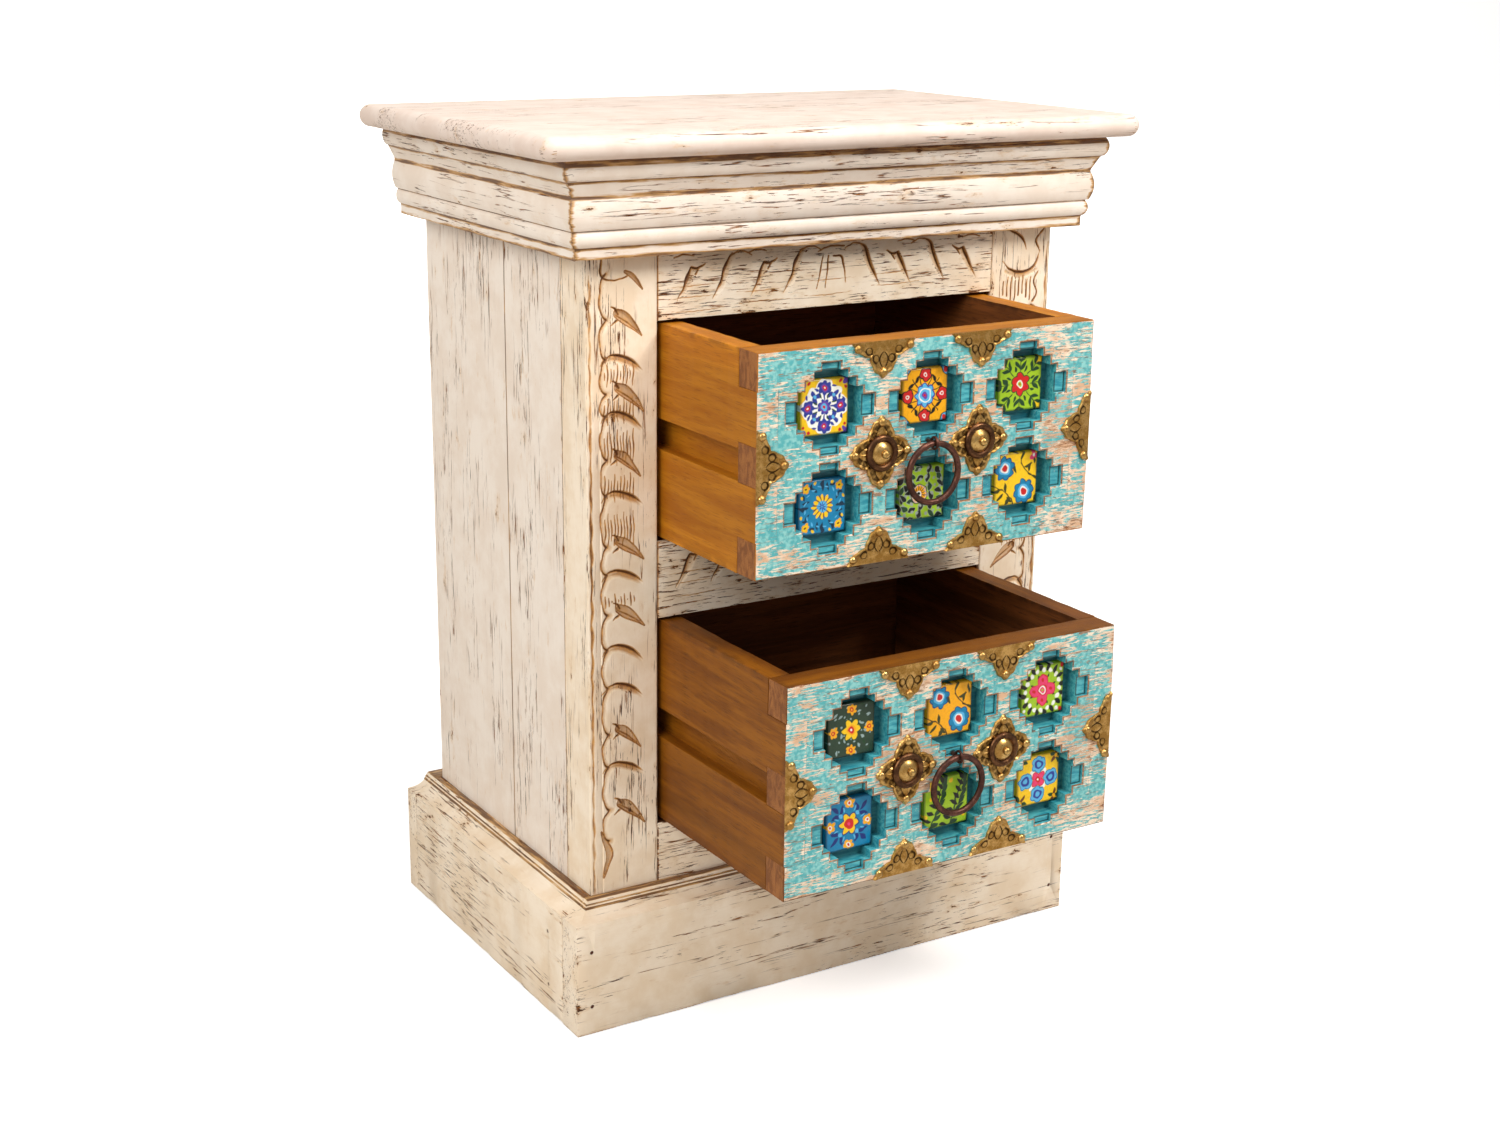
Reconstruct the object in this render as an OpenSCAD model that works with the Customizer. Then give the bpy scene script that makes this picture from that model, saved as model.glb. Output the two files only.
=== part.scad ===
// Two-drawer nightstand: painted solid-wood cabinet, tiled drawer fronts with brass plates and ring pulls.
// Millimetres. The origin is the middle of the plinth's back bottom edge: +Z is up, -Y is the front.
// The drawers stand part-way open, the lower one further than the upper one.

/* [Cabinet body] */
// Width of the body between the outer faces of its side panels
body_w = 432; // [400:1:500]
// Depth of the body from the front frame to the back panel
body_d = 292; // [260:1:360]
// Height of the whole cabinet
total_h = 700; // [690:1:780]
// Thickness of the side panels
panel_t = 18; // [12:1:24]
// Thickness of the front frame's rails and of the stiles behind the openings' edges
frame_t = 20; // [16:1:26]
// Width of a stile
stile_w = 60; // [50:1:66]
// Depth of a stile along the side of the body, where it carries on as a corner post
post_d = 40; // [34:1:60]
// Thickness of the back panel
back_t = 8; // [5:1:12]
// Thickness of the floor panel under the lower drawer
floor_t = 12; // [8:1:16]
// Height of the floor panel's top below the lower opening
floor_drop = 14; // [4:1:20]

/* [Top board] */
// Thickness of the top board
top_t = 18; // [14:1:26]
// Overhang of the top board at each side of the body
top_side_over = 53; // [40:1:60]
// Overhang of the top board in front of the body
top_front_over = 46; // [36:1:55]
// Overhang of the top board and of the cornice behind the body
top_back_over = 12; // [0:1:18]

/* [Cornice] */
// Height of the flat fillet at the foot of the cornice
fillet_h = 9; // [6:0.5:14]
// Reach of the fillet out from the body
fillet_out = 16.5; // [12:0.5:17.5]
// Height of the small bead over the fillet
bead_h = 12.5; // [10:0.5:18]
// Reach of the small bead
bead_out = 20.5; // [20:0.5:22.5]
// Height of the broad convex member
swell_h = 23.5; // [16:0.5:28]
// Reach of the broad convex member
swell_out = 23.5; // [23:0.5:26]
// Height of the slanting neck over the broad member
neck_h = 12.5; // [10:0.5:18]
// Reach of the neck at its upper edge
neck_out = 26.5; // [24:0.5:27.5]
// Height of the crown bead under the top board
crown_h = 15.5; // [12:0.5:18]
// Reach of the crown bead
crown_out = 31; // [30.5:0.5:33]
// Width of the small step at the foot of a rounded member
step_w = 1.5; // [0.5:0.5:2]

/* [Plinth] */
// Height of the plinth's upright face
plinth_face_h = 93; // [80:1:110]
// Height of the moulded edge over the face
plinth_cap_h = 12; // [10:1:18]
// Width of the hollow that rises from the plinth's face towards the body
cove_w = 16; // [12:0.5:17]
// Height of the bead between the hollow and the body
cap_bead_h = 3.5; // [3:0.5:6]
// Width of the small steps at both sides of the hollow
plinth_step = 1; // [0.5:0.5:1.5]
// Thickness of the front and side plinth boards, which is also their overhang
plinth_t = 26; // [20:1:30]
// Thickness of the back plinth board
plinth_back_t = 18; // [14:1:24]

/* [Drawer openings] */
// Height of the bottom rail that shows over the plinth
rail_bottom_h = 49; // [30:1:60]
// Height of the middle rail between the drawers
rail_middle_h = 61; // [40:1:70]
// Height of each drawer opening
opening_h = 171.5; // [168:0.5:176]
// Gap between a drawer and the opening at each side
gap_side = 4.5; // [2:0.5:6]
// Gap between a drawer and the rail under it
gap_under = 2.8; // [1.5:0.1:4]
// Gap between a drawer and the rail over it
gap_over = 2.7; // [1.5:0.1:4]

/* [Drawers] */
// Thickness of a drawer front
front_t = 25; // [22:1:30]
// Thickness of a drawer's side boards
drawer_side_t = 18; // [15:1:22]
// Thickness of a drawer's back board
drawer_back_t = 16; // [10:1:20]
// Thickness of a drawer's bottom
bottom_t = 6; // [4:1:9]
// Height of the bottom's underside above the drawer's lower edge
bottom_up = 10; // [6:1:16]
// Depth of the grooves that hold the bottom
bottom_groove = 5; // [3:0.5:7]
// Height of one of the two fingers that join a side board to the front
finger_h = 40; // [30:1:44]
// Height of the front's own wood between the two fingers
finger_gap = 30; // [20:1:36]
// Distance that the upper drawer stands open
upper_open = 135.5; // [20:0.5:200]
// Distance that the lower drawer stands open
lower_open = 180.5; // [20:0.5:200]
// Gap between a closed drawer and the back panel
stop_gap = 0.5; // [0.5:0.5:6]

/* [Runners] */
// Height of the groove in a drawer's side
groove_h = 24; // [18:1:30]
// Depth of the groove in a drawer's side
groove_depth = 11; // [7:0.5:11]
// Height of the groove's lower edge above the drawer's lower edge
groove_up = 69; // [50:1:90]
// Height of a runner
runner_h = 21; // [14:0.5:22]
// Gap between a runner's top and the groove that rests on it
runner_fit = 0.3; // [0.2:0.1:0.8]
// Gap between a runner's edge and the bottom of the groove
runner_gap = 1; // [0.5:0.5:2]
// Gap between a runner's front end and a closed drawer's front
runner_setback = 1.5; // [1:0.5:10]

/* [Tiles and their recesses] */
// Width and height of a glazed tile
tile_w = 41; // [38:1:44]
// Thickness of a tile
tile_t = 5.5; // [4:0.5:8]
// Depth of a tile's glazed face behind the drawer front's face
tile_sunk = 8.5; // [6:0.5:10]
// Distance between two tiles side by side
tile_pitch_x = 89; // [87:1:92]
// Distance between two tiles one over the other
tile_pitch_z = 74; // [73:1:76]
// Gap between a tile and the inner corners of its recess
tile_fit = 1.3; // [0.2:0.1:1.5]
// Reach of the deep recess from its middle along each arm
arm_reach = 28; // [26:0.5:30]
// Width of an arm of the deep recess
arm_w = 29; // [24:1:34]
// Reach of the shallow pocket beyond the arms at the sides
pocket_reach_x = 38; // [32:0.5:40]
// Reach of the shallow pocket beyond the arms at the top and bottom
pocket_reach_z = 34; // [31:0.5:35]
// Width of a shallow pocket
pocket_w = 16; // [12:1:22]
// Depth of a shallow pocket
pocket_sunk = 3; // [2:0.5:5]

/* [Brass plates and nails] */
// Reach of a plate's points from its middle
plate_reach = 26; // [24:0.5:28]
// Reach of a plate's outline between its points
plate_waist = 17.5; // [14:0.5:20]
// Thickness of a plate
plate_t = 1; // [0.6:0.1:1.6]
// Distance of a nail from the plate's middle
nail_out = 23; // [21:0.5:24]
// Distance of a nail from the edge of the board on a half plate
nail_inset = 4.5; // [4.5:0.5:6]
// Radius of a domed nail head
nail_r = 3.5; // [2.5:0.1:3.8]
// Height of a domed nail head
nail_h = 2.4; // [1.5:0.1:3]
// Rim of brass left round each nail head
nail_rim = 0.8; // [0.4:0.1:0.9]

/* [Bosses] */
// Outer radius of the iron washer under a boss
washer_r = 14; // [12:0.5:16]
// Radius of the rounded rim of the washer
washer_rim_r = 2.4; // [1.5:0.1:3]
// Thickness of the washer's flat middle
washer_t = 1.6; // [1:0.1:2.5]
// Radius of the brass dome in the washer
dome_r = 8.6; // [6:0.1:9]
// Height of the brass dome
dome_h = 3.4; // [2:0.1:4.5]
// Radius of the round button on the dome
button_r = 3.4; // [2.5:0.1:4]
// Gap between the dome's edge and the washer's rim
dome_fit = 0.3; // [0.2:0.1:1]

/* [Ring pulls] */
// Radius of a ring pull to the middle of its wire
ring_r = 22.4; // [18:0.1:24]
// Radius of the ring's wire
wire_r = 2.5; // [1.8:0.1:2.8]
// Radius of the hole in the staple's eye
eye_r = 3.1; // [3.1:0.1:3.6]
// Radius of the staple's own wire
eye_wire_r = 1.1; // [0.8:0.1:1.4]
// Gap under the ring's wire where it hangs in the eye
eye_fit = 0.3; // [0.1:0.1:0.3]
// Height of the eye above the middle of the drawer front
eye_up = 3.5; // [2:0.5:6]
// Radius of the staple's shank
shank_r = 1.8; // [1.2:0.1:2.4]
// Gap between the shank and its hole
shank_fit = 0.1; // [0.05:0.05:0.3]
// Length of each leg that is bent over inside the drawer
leg_l = 9; // [5:1:14]
// Thickness of a bent leg
leg_t = 1.2; // [0.8:0.1:2]

/* [Blocks, screws and nails] */
// Width and height of a glue block
block_w = 22; // [16:1:28]
// Length of a glue block
block_l = 60; // [40:1:80]
// Radius of a screw's shank
screw_r = 2; // [1.5:0.1:2.5]
// Radius of a screw's head
screw_head_r = 4; // [3:0.5:5]
// Height of a screw's head
screw_head_h = 2.5; // [1.5:0.5:4]
// Depth of a screw in the top board
screw_bite = 11; // [6:1:12]
// Gap between a screw and its hole
screw_fit = 0.1; // [0.05:0.05:0.3]
// Radius of a nail in the plinth
pin_r = 1.6; // [1:0.1:2.2]
// Length of a nail in the plinth
pin_l = 20; // [10:1:24]
// Depth of a nail's head below the face of the plinth
pin_sunk = 0.6; // [0.2:0.1:1.5]
// Gap between a plinth nail and its hole
pin_fit = 0.1; // [0.05:0.05:0.3]

/* [Hidden] */
$fn = 48;
// A length past any piece, for cutting shapes
far = 1000;
// A hair's breadth that makes a cut run past a face
past = 1;

half_w = body_w / 2;
body_back_y = -plinth_back_t;
body_front_y = body_back_y - body_d;
frame_back_y = body_front_y + frame_t;
inside_x = half_w - panel_t;
inside_back_y = body_back_y - back_t;
top_under_z = total_h - top_t;
// Radius of the top board's half-round edge
edge_r = top_t / 2;

cornice_h = fillet_h + bead_h + swell_h + neck_h + crown_h;
cornice_z = top_under_z - cornice_h;

plinth_h = plinth_face_h + plinth_cap_h;
plinth_half_w = half_w + plinth_t;
plinth_front_y = body_front_y - plinth_t;

opening_x = half_w - stile_w;
lower_opening_z = plinth_h + rail_bottom_h;
rail_middle_z = lower_opening_z + opening_h;
upper_opening_z = rail_middle_z + rail_middle_h;
rail_top_z = upper_opening_z + opening_h;
// The bottom rail and the back panel run down behind the plinth boards
rail_bottom_z = plinth_h / 2;

drawer_w = 2 * (opening_x - gap_side);
drawer_h = opening_h - gap_under - gap_over;
drawer_l = body_d - back_t - stop_gap;
upper_z = upper_opening_z + gap_under;
lower_z = lower_opening_z + gap_under;
upper_y = body_front_y - upper_open;
lower_y = body_front_y - lower_open;

groove_top = groove_up + groove_h;
runner_top = groove_top - runner_fit;
runner_in_x = drawer_w / 2 - groove_depth + runner_gap;
runner_front_y = body_front_y + front_t + runner_setback;

recess_depth = tile_sunk + tile_t;
core_w = tile_w + 2 * tile_fit;
plate_x = tile_pitch_x / 2;
// Angle between two points of a plate's outline
plate_step = 7.5;
lobe_r = nail_r + nail_rim;
ring_out = eye_r + 2 * eye_wire_r;
ring_axis_z = eye_up - eye_fit;

TILES = [[-1, 1], [0, 1], [1, 1], [-1, -1], [0, -1], [1, -1]];

cream = [0.93, 0.87, 0.77];
shade_cream = [0.86, 0.78, 0.66];
honey = [0.68, 0.42, 0.15];
dark_wood = [0.42, 0.26, 0.12];
turquoise = [0.42, 0.76, 0.78];
brass = [0.62, 0.47, 0.2];
iron = [0.28, 0.19, 0.16];

// Box between two opposite corners
module span(low, high) {
    translate(low) cube(high - low);
}

// Top board: a slab with a half-round edge all round and rounded corners
module top_board() {
    x = half_w + top_side_over - edge_r;
    y0 = body_front_y - top_front_over + edge_r;
    y1 = body_back_y + top_back_over - edge_r;
    mid_z = total_h - edge_r;
    color(cream) difference() {
        union() {
            span([-x, y0, top_under_z], [x, y1, total_h]);
            for (y = [y0, y1])
                translate([-x, y, mid_z]) rotate([0, 90, 0]) cylinder(r = edge_r, h = 2 * x);
            for (side = [-1, 1])
                translate([side * x, y0, mid_z]) rotate([-90, 0, 0]) cylinder(r = edge_r, h = y1 - y0);
            for (side = [-1, 1], y = [y0, y1])
                translate([side * x, y, mid_z]) sphere(r = edge_r);
        }
        screw_places() translate([0, 0, top_under_z - past])
            cylinder(r = screw_r + screw_fit, h = screw_bite + screw_fit + past);
    }
}

// One rounded member of the cornice: a band that swells from base to reach
module swelling(z, h, base, reach) {
    rise = reach - base;
    r = (h * h / 4 + rise * rise) / (2 * rise);
    intersection() {
        translate([reach - r, z + h / 2]) circle(r = r, $fn = 96);
        translate([0, z]) square([reach, h]);
    }
    translate([0, z]) square([base, h]);
}

// Section of the cornice: x is the reach out from the body, y the height above its foot
module cornice_section() {
    bead_z = fillet_h;
    swell_z = bead_z + bead_h;
    neck_z = swell_z + swell_h;
    crown_z = neck_z + neck_h;
    square([fillet_out, fillet_h]);
    swelling(bead_z, bead_h, fillet_out + step_w, bead_out);
    swelling(swell_z, swell_h, bead_out, swell_out);
    polygon([[0, neck_z], [bead_out, neck_z], [neck_out, crown_z], [0, crown_z]]);
    swelling(crown_z, crown_h, neck_out + step_w, crown_out);
}

// Cornice strip along the front, cut to a mitre at both ends
module cornice_front() {
    l = 2 * (half_w + crown_out);
    color(cream) intersection() {
        translate([l / 2, body_front_y, cornice_z]) rotate([0, 0, -90]) rotate([90, 0, 0])
            linear_extrude(l) cornice_section();
        translate([0, body_front_y, cornice_z - past]) linear_extrude(cornice_h + 2 * past)
            polygon([[-half_w, 0], [-half_w - far, -far], [half_w + far, -far], [half_w, 0]]);
    }
}

// Cornice strip along one side, mitred at its front end and flush with the top board at the back
module cornice_side() {
    l = top_back_over + body_d + crown_out;
    intersection() {
        translate([half_w, body_back_y + top_back_over, cornice_z]) rotate([90, 0, 0])
            linear_extrude(l) cornice_section();
        translate([0, body_front_y, cornice_z - past]) linear_extrude(cornice_h + 2 * past)
            polygon([[half_w, 0], [half_w + far, -far], [half_w + far, far], [half_w, far]]);
    }
}

module cornice_right() {
    color(cream) cornice_side();
}

module cornice_left() {
    color(cream) mirror([1, 0, 0]) cornice_side();
}

module side_panel_right() {
    color(cream) span([inside_x, body_front_y + post_d, 0], [half_w, body_back_y, top_under_z]);
}

module side_panel_left() {
    color(cream) mirror([1, 0, 0]) side_panel_right();
}

module back_panel() {
    color(shade_cream)
        span([-inside_x, inside_back_y, rail_bottom_z], [inside_x, body_back_y, top_under_z]);
}

module floor_panel() {
    top_z = lower_opening_z - floor_drop;
    color(dark_wood) span([-inside_x, frame_back_y, top_z - floor_t], [inside_x, inside_back_y, top_z]);
}

// A stile of the front frame, whose outer edge carries on along the side as a corner post
module stile_right() {
    color(cream) {
        span([opening_x, body_front_y, 0], [half_w, frame_back_y, top_under_z]);
        span([inside_x, body_front_y, 0], [half_w, body_front_y + post_d, top_under_z]);
    }
}

module stile_left() {
    color(cream) mirror([1, 0, 0]) stile_right();
}

// A rail of the front frame between the two stiles
module rail(z0, z1) {
    color(cream) span([-opening_x, body_front_y, z0], [opening_x, frame_back_y, z1]);
}

module rail_top() {
    rail(rail_top_z, top_under_z);
}

module rail_middle() {
    rail(rail_middle_z, upper_opening_z);
}

module rail_bottom() {
    rail(rail_bottom_z, lower_opening_z);
}

// Points of the plinth's moulded edge: x is how far it draws in, y the height
function cap_points() =
    let (cove_h = plinth_cap_h - cap_bead_h)
    let (bead_in = plinth_step + cove_w + plinth_step)
    let (bead_z = plinth_face_h + cove_h)
    let (bead_w = (plinth_t - bead_in) / 2)
    concat(
        [for (i = [0 : 6]) [plinth_step + cove_w * sin(15 * i), bead_z - cove_h * cos(15 * i)]],
        [for (i = [0 : 6]) [bead_in + bead_w * (1 - cos(15 * i)), bead_z + cap_bead_h * sin(15 * i)]]);

// The plinth as one block, moulded along its front and both sides
module plinth_block() {
    cap = cap_points();
    deep = -plinth_front_y;
    wide = plinth_half_w;
    intersection() {
        translate([-wide, 0, 0]) rotate([90, 0, 90]) linear_extrude(2 * wide)
            polygon(concat(
                [[0, 0], [-deep, 0], [-deep, plinth_face_h]],
                [for (p = cap) [p.x - deep, p.y]],
                [[0, plinth_h]]));
        rotate([90, 0, 0]) linear_extrude(deep)
            polygon(concat(
                [[wide, 0], [wide, plinth_face_h]],
                [for (p = cap) [wide - p.x, p.y]],
                [for (i = [len(cap) - 1 : -1 : 0]) [cap[i].x - wide, cap[i].y]],
                [[-wide, plinth_face_h], [-wide, 0]]));
    }
}

module plinth_front() {
    color(cream) difference() {
        intersection() {
            plinth_block();
            span([-far, plinth_front_y, 0], [far, body_front_y, far]);
        }
        pin_places() pin_hole();
    }
}

module plinth_right() {
    color(cream) difference() {
        intersection() {
            plinth_block();
            span([half_w, body_front_y, 0], [far, body_back_y, far]);
        }
        pin_places() pin_hole();
    }
}

module plinth_left() {
    color(cream) difference() {
        intersection() {
            plinth_block();
            span([-far, body_front_y, 0], [-half_w, body_back_y, far]);
        }
        pin_places() pin_hole();
    }
}

module plinth_back() {
    color(shade_cream) intersection() {
        plinth_block();
        span([-far, body_back_y, 0], [far, 0, far]);
    }
}

// Where the plinth's nails enter, each turned so that its own +Z runs into the wood
module pin_places() {
    for (side = [-1, 1], z = [plinth_face_h / 4, plinth_face_h * 3 / 4]) {
        translate([side * (plinth_half_w - plinth_t / 2), plinth_front_y, z])
            rotate([-90, 0, 0]) children();
        translate([side * plinth_half_w, body_front_y + plinth_t, z])
            rotate([0, -90 * side, 0]) children();
    }
}

module pin_hole() {
    translate([0, 0, -past]) cylinder(r = pin_r + pin_fit, h = past + pin_sunk + pin_l + pin_fit);
}

module plinth_nails() {
    color(iron) pin_places() translate([0, 0, pin_sunk]) cylinder(r = pin_r, h = pin_l);
}

// A pair of runners: battens fixed to the side panels, whose edges lie in the drawer's grooves
module runners(drawer_z) {
    color(dark_wood) for (side = [0, 1]) mirror([side, 0, 0])
        span([runner_in_x, runner_front_y, drawer_z + runner_top - runner_h],
             [inside_x, inside_back_y, drawer_z + runner_top]);
}

module upper_runners() {
    runners(upper_z);
}

module lower_runners() {
    runners(lower_z);
}

// The four places of the glue blocks under the top board
module block_places() {
    for (side = [0, 1], y = [frame_back_y, inside_back_y - block_l])
        mirror([side, 0, 0]) translate([inside_x - block_w, y, top_under_z - block_w]) children();
}

// The four screws stand in the middle of the glue blocks
module screw_places() {
    for (side = [-1, 1], y = [frame_back_y + block_l / 2, inside_back_y - block_l / 2])
        translate([side * (inside_x - block_w / 2), y, 0]) children();
}

module glue_blocks() {
    color(dark_wood) difference() {
        block_places() cube([block_w, block_l, block_w]);
        screw_places() translate([0, 0, top_under_z - block_w - past])
            cylinder(r = screw_r + screw_fit, h = block_w + 2 * past);
    }
}

module top_screws() {
    color(iron) screw_places() {
        translate([0, 0, top_under_z - block_w - screw_head_h])
            cylinder(r = screw_head_r, h = screw_head_h);
        translate([0, 0, top_under_z - block_w - screw_head_h / 2])
            cylinder(r = screw_r, h = block_w + screw_head_h / 2 + screw_bite);
    }
}

// Heights of the two fingers' lower edges, above the drawer's lower edge
function finger_starts() = [
    drawer_h / 2 - finger_gap / 2 - finger_h,
    drawer_h / 2 + finger_gap / 2
];

// Puts children on a drawer's face: x across, y up from the middle, z out of the face
module on_face() {
    translate([0, 0, drawer_h / 2]) rotate([90, 0, 0]) children();
}

// Stepped cross of the deep recess and its four shallow pockets, cut into the face
module tile_recess() {
    translate([0, 0, -recess_depth]) linear_extrude(recess_depth + past) {
        square([core_w, core_w], center = true);
        square([2 * arm_reach, arm_w], center = true);
        square([arm_w, 2 * arm_reach], center = true);
    }
    translate([0, 0, -pocket_sunk]) linear_extrude(pocket_sunk + past) {
        square([2 * pocket_reach_x, pocket_w], center = true);
        square([pocket_w, 2 * pocket_reach_z], center = true);
    }
}

// A drawer front: a thick board with six stepped recesses, notched at its ends for the fingers
module drawer_front() {
    color(turquoise) difference() {
        span([-drawer_w / 2, 0, 0], [drawer_w / 2, front_t, drawer_h]);
        for (side = [-1, 1], z = finger_starts())
            span([side * drawer_w / 2 - (side > 0 ? drawer_side_t : past), -past, z],
                 [side * drawer_w / 2 + (side > 0 ? past : drawer_side_t), front_t + past, z + finger_h]);
        on_face() for (t = TILES)
            translate([t.x * tile_pitch_x, t.y * tile_pitch_z / 2, 0]) tile_recess();
        on_face() translate([0, eye_up, -front_t - past])
            cylinder(r = shank_r + shank_fit, h = front_t + 2 * past);
        span([-drawer_w / 2 + drawer_side_t - bottom_groove, front_t - bottom_groove, bottom_up],
             [drawer_w / 2 - drawer_side_t + bottom_groove, front_t + past, bottom_up + bottom_t]);
    }
}

// A drawer's right side board: two fingers through the front, and grooves for runner and bottom
module drawer_side() {
    outer = drawer_w / 2;
    inner = outer - drawer_side_t;
    color(honey) difference() {
        union() {
            span([inner, front_t, 0], [outer, drawer_l, drawer_h]);
            for (z = finger_starts()) span([inner, 0, z], [outer, front_t + past, z + finger_h]);
        }
        span([outer - groove_depth, front_t, groove_up], [outer + past, drawer_l + past, groove_top]);
        span([inner - past, front_t - past, bottom_up],
             [inner + bottom_groove, drawer_l + past, bottom_up + bottom_t]);
    }
}

module drawer_back() {
    inner = drawer_w / 2 - drawer_side_t;
    color(honey)
        span([-inner, drawer_l - drawer_back_t, bottom_up + bottom_t], [inner, drawer_l, drawer_h]);
}

module drawer_bottom() {
    half = drawer_w / 2 - drawer_side_t + bottom_groove;
    color(dark_wood)
        span([-half, front_t - bottom_groove, bottom_up], [half, drawer_l, bottom_up + bottom_t]);
}

// One glazed tile, lying on the floor of its recess
module tile(index, shade) {
    t = TILES[index];
    color(shade) on_face() translate([t.x * tile_pitch_x, t.y * tile_pitch_z / 2, -recess_depth])
        linear_extrude(tile_t) square([tile_w, tile_w], center = true);
}

// Outline of a brass plate between its lobes: four points with drawn-in sides
function plate_points() = [
    for (a = [0 : plate_step : 360 - plate_step])
        let (r = plate_waist + (plate_reach - plate_waist) * pow(abs(cos(2 * a)), 1.5))
        [r * cos(a), r * sin(a)]
];

module plate_outline() {
    polygon(plate_points());
    for (a = [0 : 90 : 270]) rotate(a) translate([nail_out, 0]) circle(r = lobe_r);
}

// Half of a plate below the line y = 0, with its two upper lobes drawn in from the edge
module half_plate_outline() {
    intersection() {
        union() {
            polygon(plate_points());
            for (p = half_nails()) translate(p) circle(r = lobe_r);
        }
        translate([-far / 2, -far]) square([far, far]);
    }
}

// Nails of a half plate, in its own frame
function half_nails() = [[-nail_out, -nail_inset], [0, -nail_out], [nail_out, -nail_inset]];

// The six half plates: two hang from the top edge, two stand on the bottom edge, one lies at each end
module edge_places() {
    for (x = [-plate_x, plate_x]) {
        translate([x, drawer_h / 2, 0]) children();
        translate([x, -drawer_h / 2, 0]) rotate([0, 0, 180]) children();
    }
    translate([-drawer_w / 2, 0, 0]) rotate([0, 0, 90]) children();
    translate([drawer_w / 2, 0, 0]) rotate([0, 0, -90]) children();
}

module medallions() {
    color(brass) on_face() for (x = [-plate_x, plate_x])
        translate([x, 0, 0]) linear_extrude(plate_t) plate_outline();
}

module edge_plates() {
    color(brass) on_face() edge_places() linear_extrude(plate_t) half_plate_outline();
}

// A domed nail head standing on a plate
module nail_head() {
    ball_r = (nail_r * nail_r + nail_h * nail_h) / (2 * nail_h);
    translate([0, 0, plate_t]) intersection() {
        translate([0, 0, nail_h - ball_r]) sphere(r = ball_r);
        cylinder(r = nail_r, h = nail_h);
    }
}

module face_nails() {
    color(brass) on_face() {
        for (x = [-plate_x, plate_x], a = [0 : 90 : 270])
            translate([x, 0, 0]) rotate([0, 0, a]) translate([nail_out, 0, 0]) nail_head();
        edge_places() for (p = half_nails()) translate([p.x, p.y, 0]) nail_head();
    }
}

// Iron washers: a flat disc with a rounded rim
module washers() {
    color(iron) on_face() for (x = [-plate_x, plate_x]) translate([x, 0, plate_t]) rotate_extrude() {
        square([washer_r - washer_rim_r, washer_t]);
        intersection() {
            translate([washer_r - washer_rim_r, washer_t / 2]) circle(r = washer_rim_r);
            square([washer_r, 3 * washer_rim_r]);
        }
    }
}

// Brass domes with a round button, standing in the washers
module domes() {
    fit_r = min(dome_r, washer_r - 2 * washer_rim_r - dome_fit);
    ball_r = (fit_r * fit_r + dome_h * dome_h) / (2 * dome_h);
    color(brass) on_face() for (x = [-plate_x, plate_x]) translate([x, 0, plate_t + washer_t]) {
        intersection() {
            translate([0, 0, dome_h - ball_r]) sphere(r = ball_r, $fn = 96);
            cylinder(r = fit_r, h = dome_h);
        }
        intersection() {
            translate([0, 0, dome_h]) sphere(r = button_r);
            cylinder(r = button_r, h = dome_h + button_r);
        }
    }
}

// Staple: an eye in front of the face, a shank through the board and two legs bent over behind it
module staple() {
    color(iron) on_face() {
        translate([0, eye_up, ring_out]) rotate([0, 90, 0]) rotate_extrude()
            translate([eye_r + eye_wire_r, 0]) circle(r = eye_wire_r);
        translate([0, eye_up, -front_t - leg_t / 2])
            cylinder(r = shank_r, h = front_t + leg_t / 2 + eye_wire_r);
        translate([-leg_l, eye_up - shank_r, -front_t - leg_t]) cube([2 * leg_l, 2 * shank_r, leg_t]);
    }
}

// Ring pull hanging in the eye of the staple
module pull_ring() {
    color(iron) on_face() translate([0, ring_axis_z - ring_r, ring_out])
        rotate_extrude($fn = 96) translate([ring_r, 0]) circle(r = wire_r);
}

// Places a drawer piece at the upper or lower drawer's open position
module at_upper() {
    translate([0, upper_y, upper_z]) children();
}

module at_lower() {
    translate([0, lower_y, lower_z]) children();
}

module upper_front() { at_upper() drawer_front(); }
module upper_side_right() { at_upper() drawer_side(); }
module upper_side_left() { at_upper() mirror([1, 0, 0]) drawer_side(); }
module upper_back() { at_upper() drawer_back(); }
module upper_bottom() { at_upper() drawer_bottom(); }
module upper_tile_top_left() { at_upper() tile(0, [0.95, 0.76, 0.2]); }
module upper_tile_top_middle() { at_upper() tile(1, [0.97, 0.68, 0.12]); }
module upper_tile_top_right() { at_upper() tile(2, [0.64, 0.78, 0.16]); }
module upper_tile_bottom_left() { at_upper() tile(3, [0.06, 0.46, 0.68]); }
module upper_tile_bottom_middle() { at_upper() tile(4, [0.55, 0.66, 0.2]); }
module upper_tile_bottom_right() { at_upper() tile(5, [0.93, 0.85, 0.1]); }
module upper_medallions() { at_upper() medallions(); }
module upper_edge_plates() { at_upper() edge_plates(); }
module upper_nails() { at_upper() face_nails(); }
module upper_washers() { at_upper() washers(); }
module upper_domes() { at_upper() domes(); }
module upper_staple() { at_upper() staple(); }
module upper_ring() { at_upper() pull_ring(); }

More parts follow.
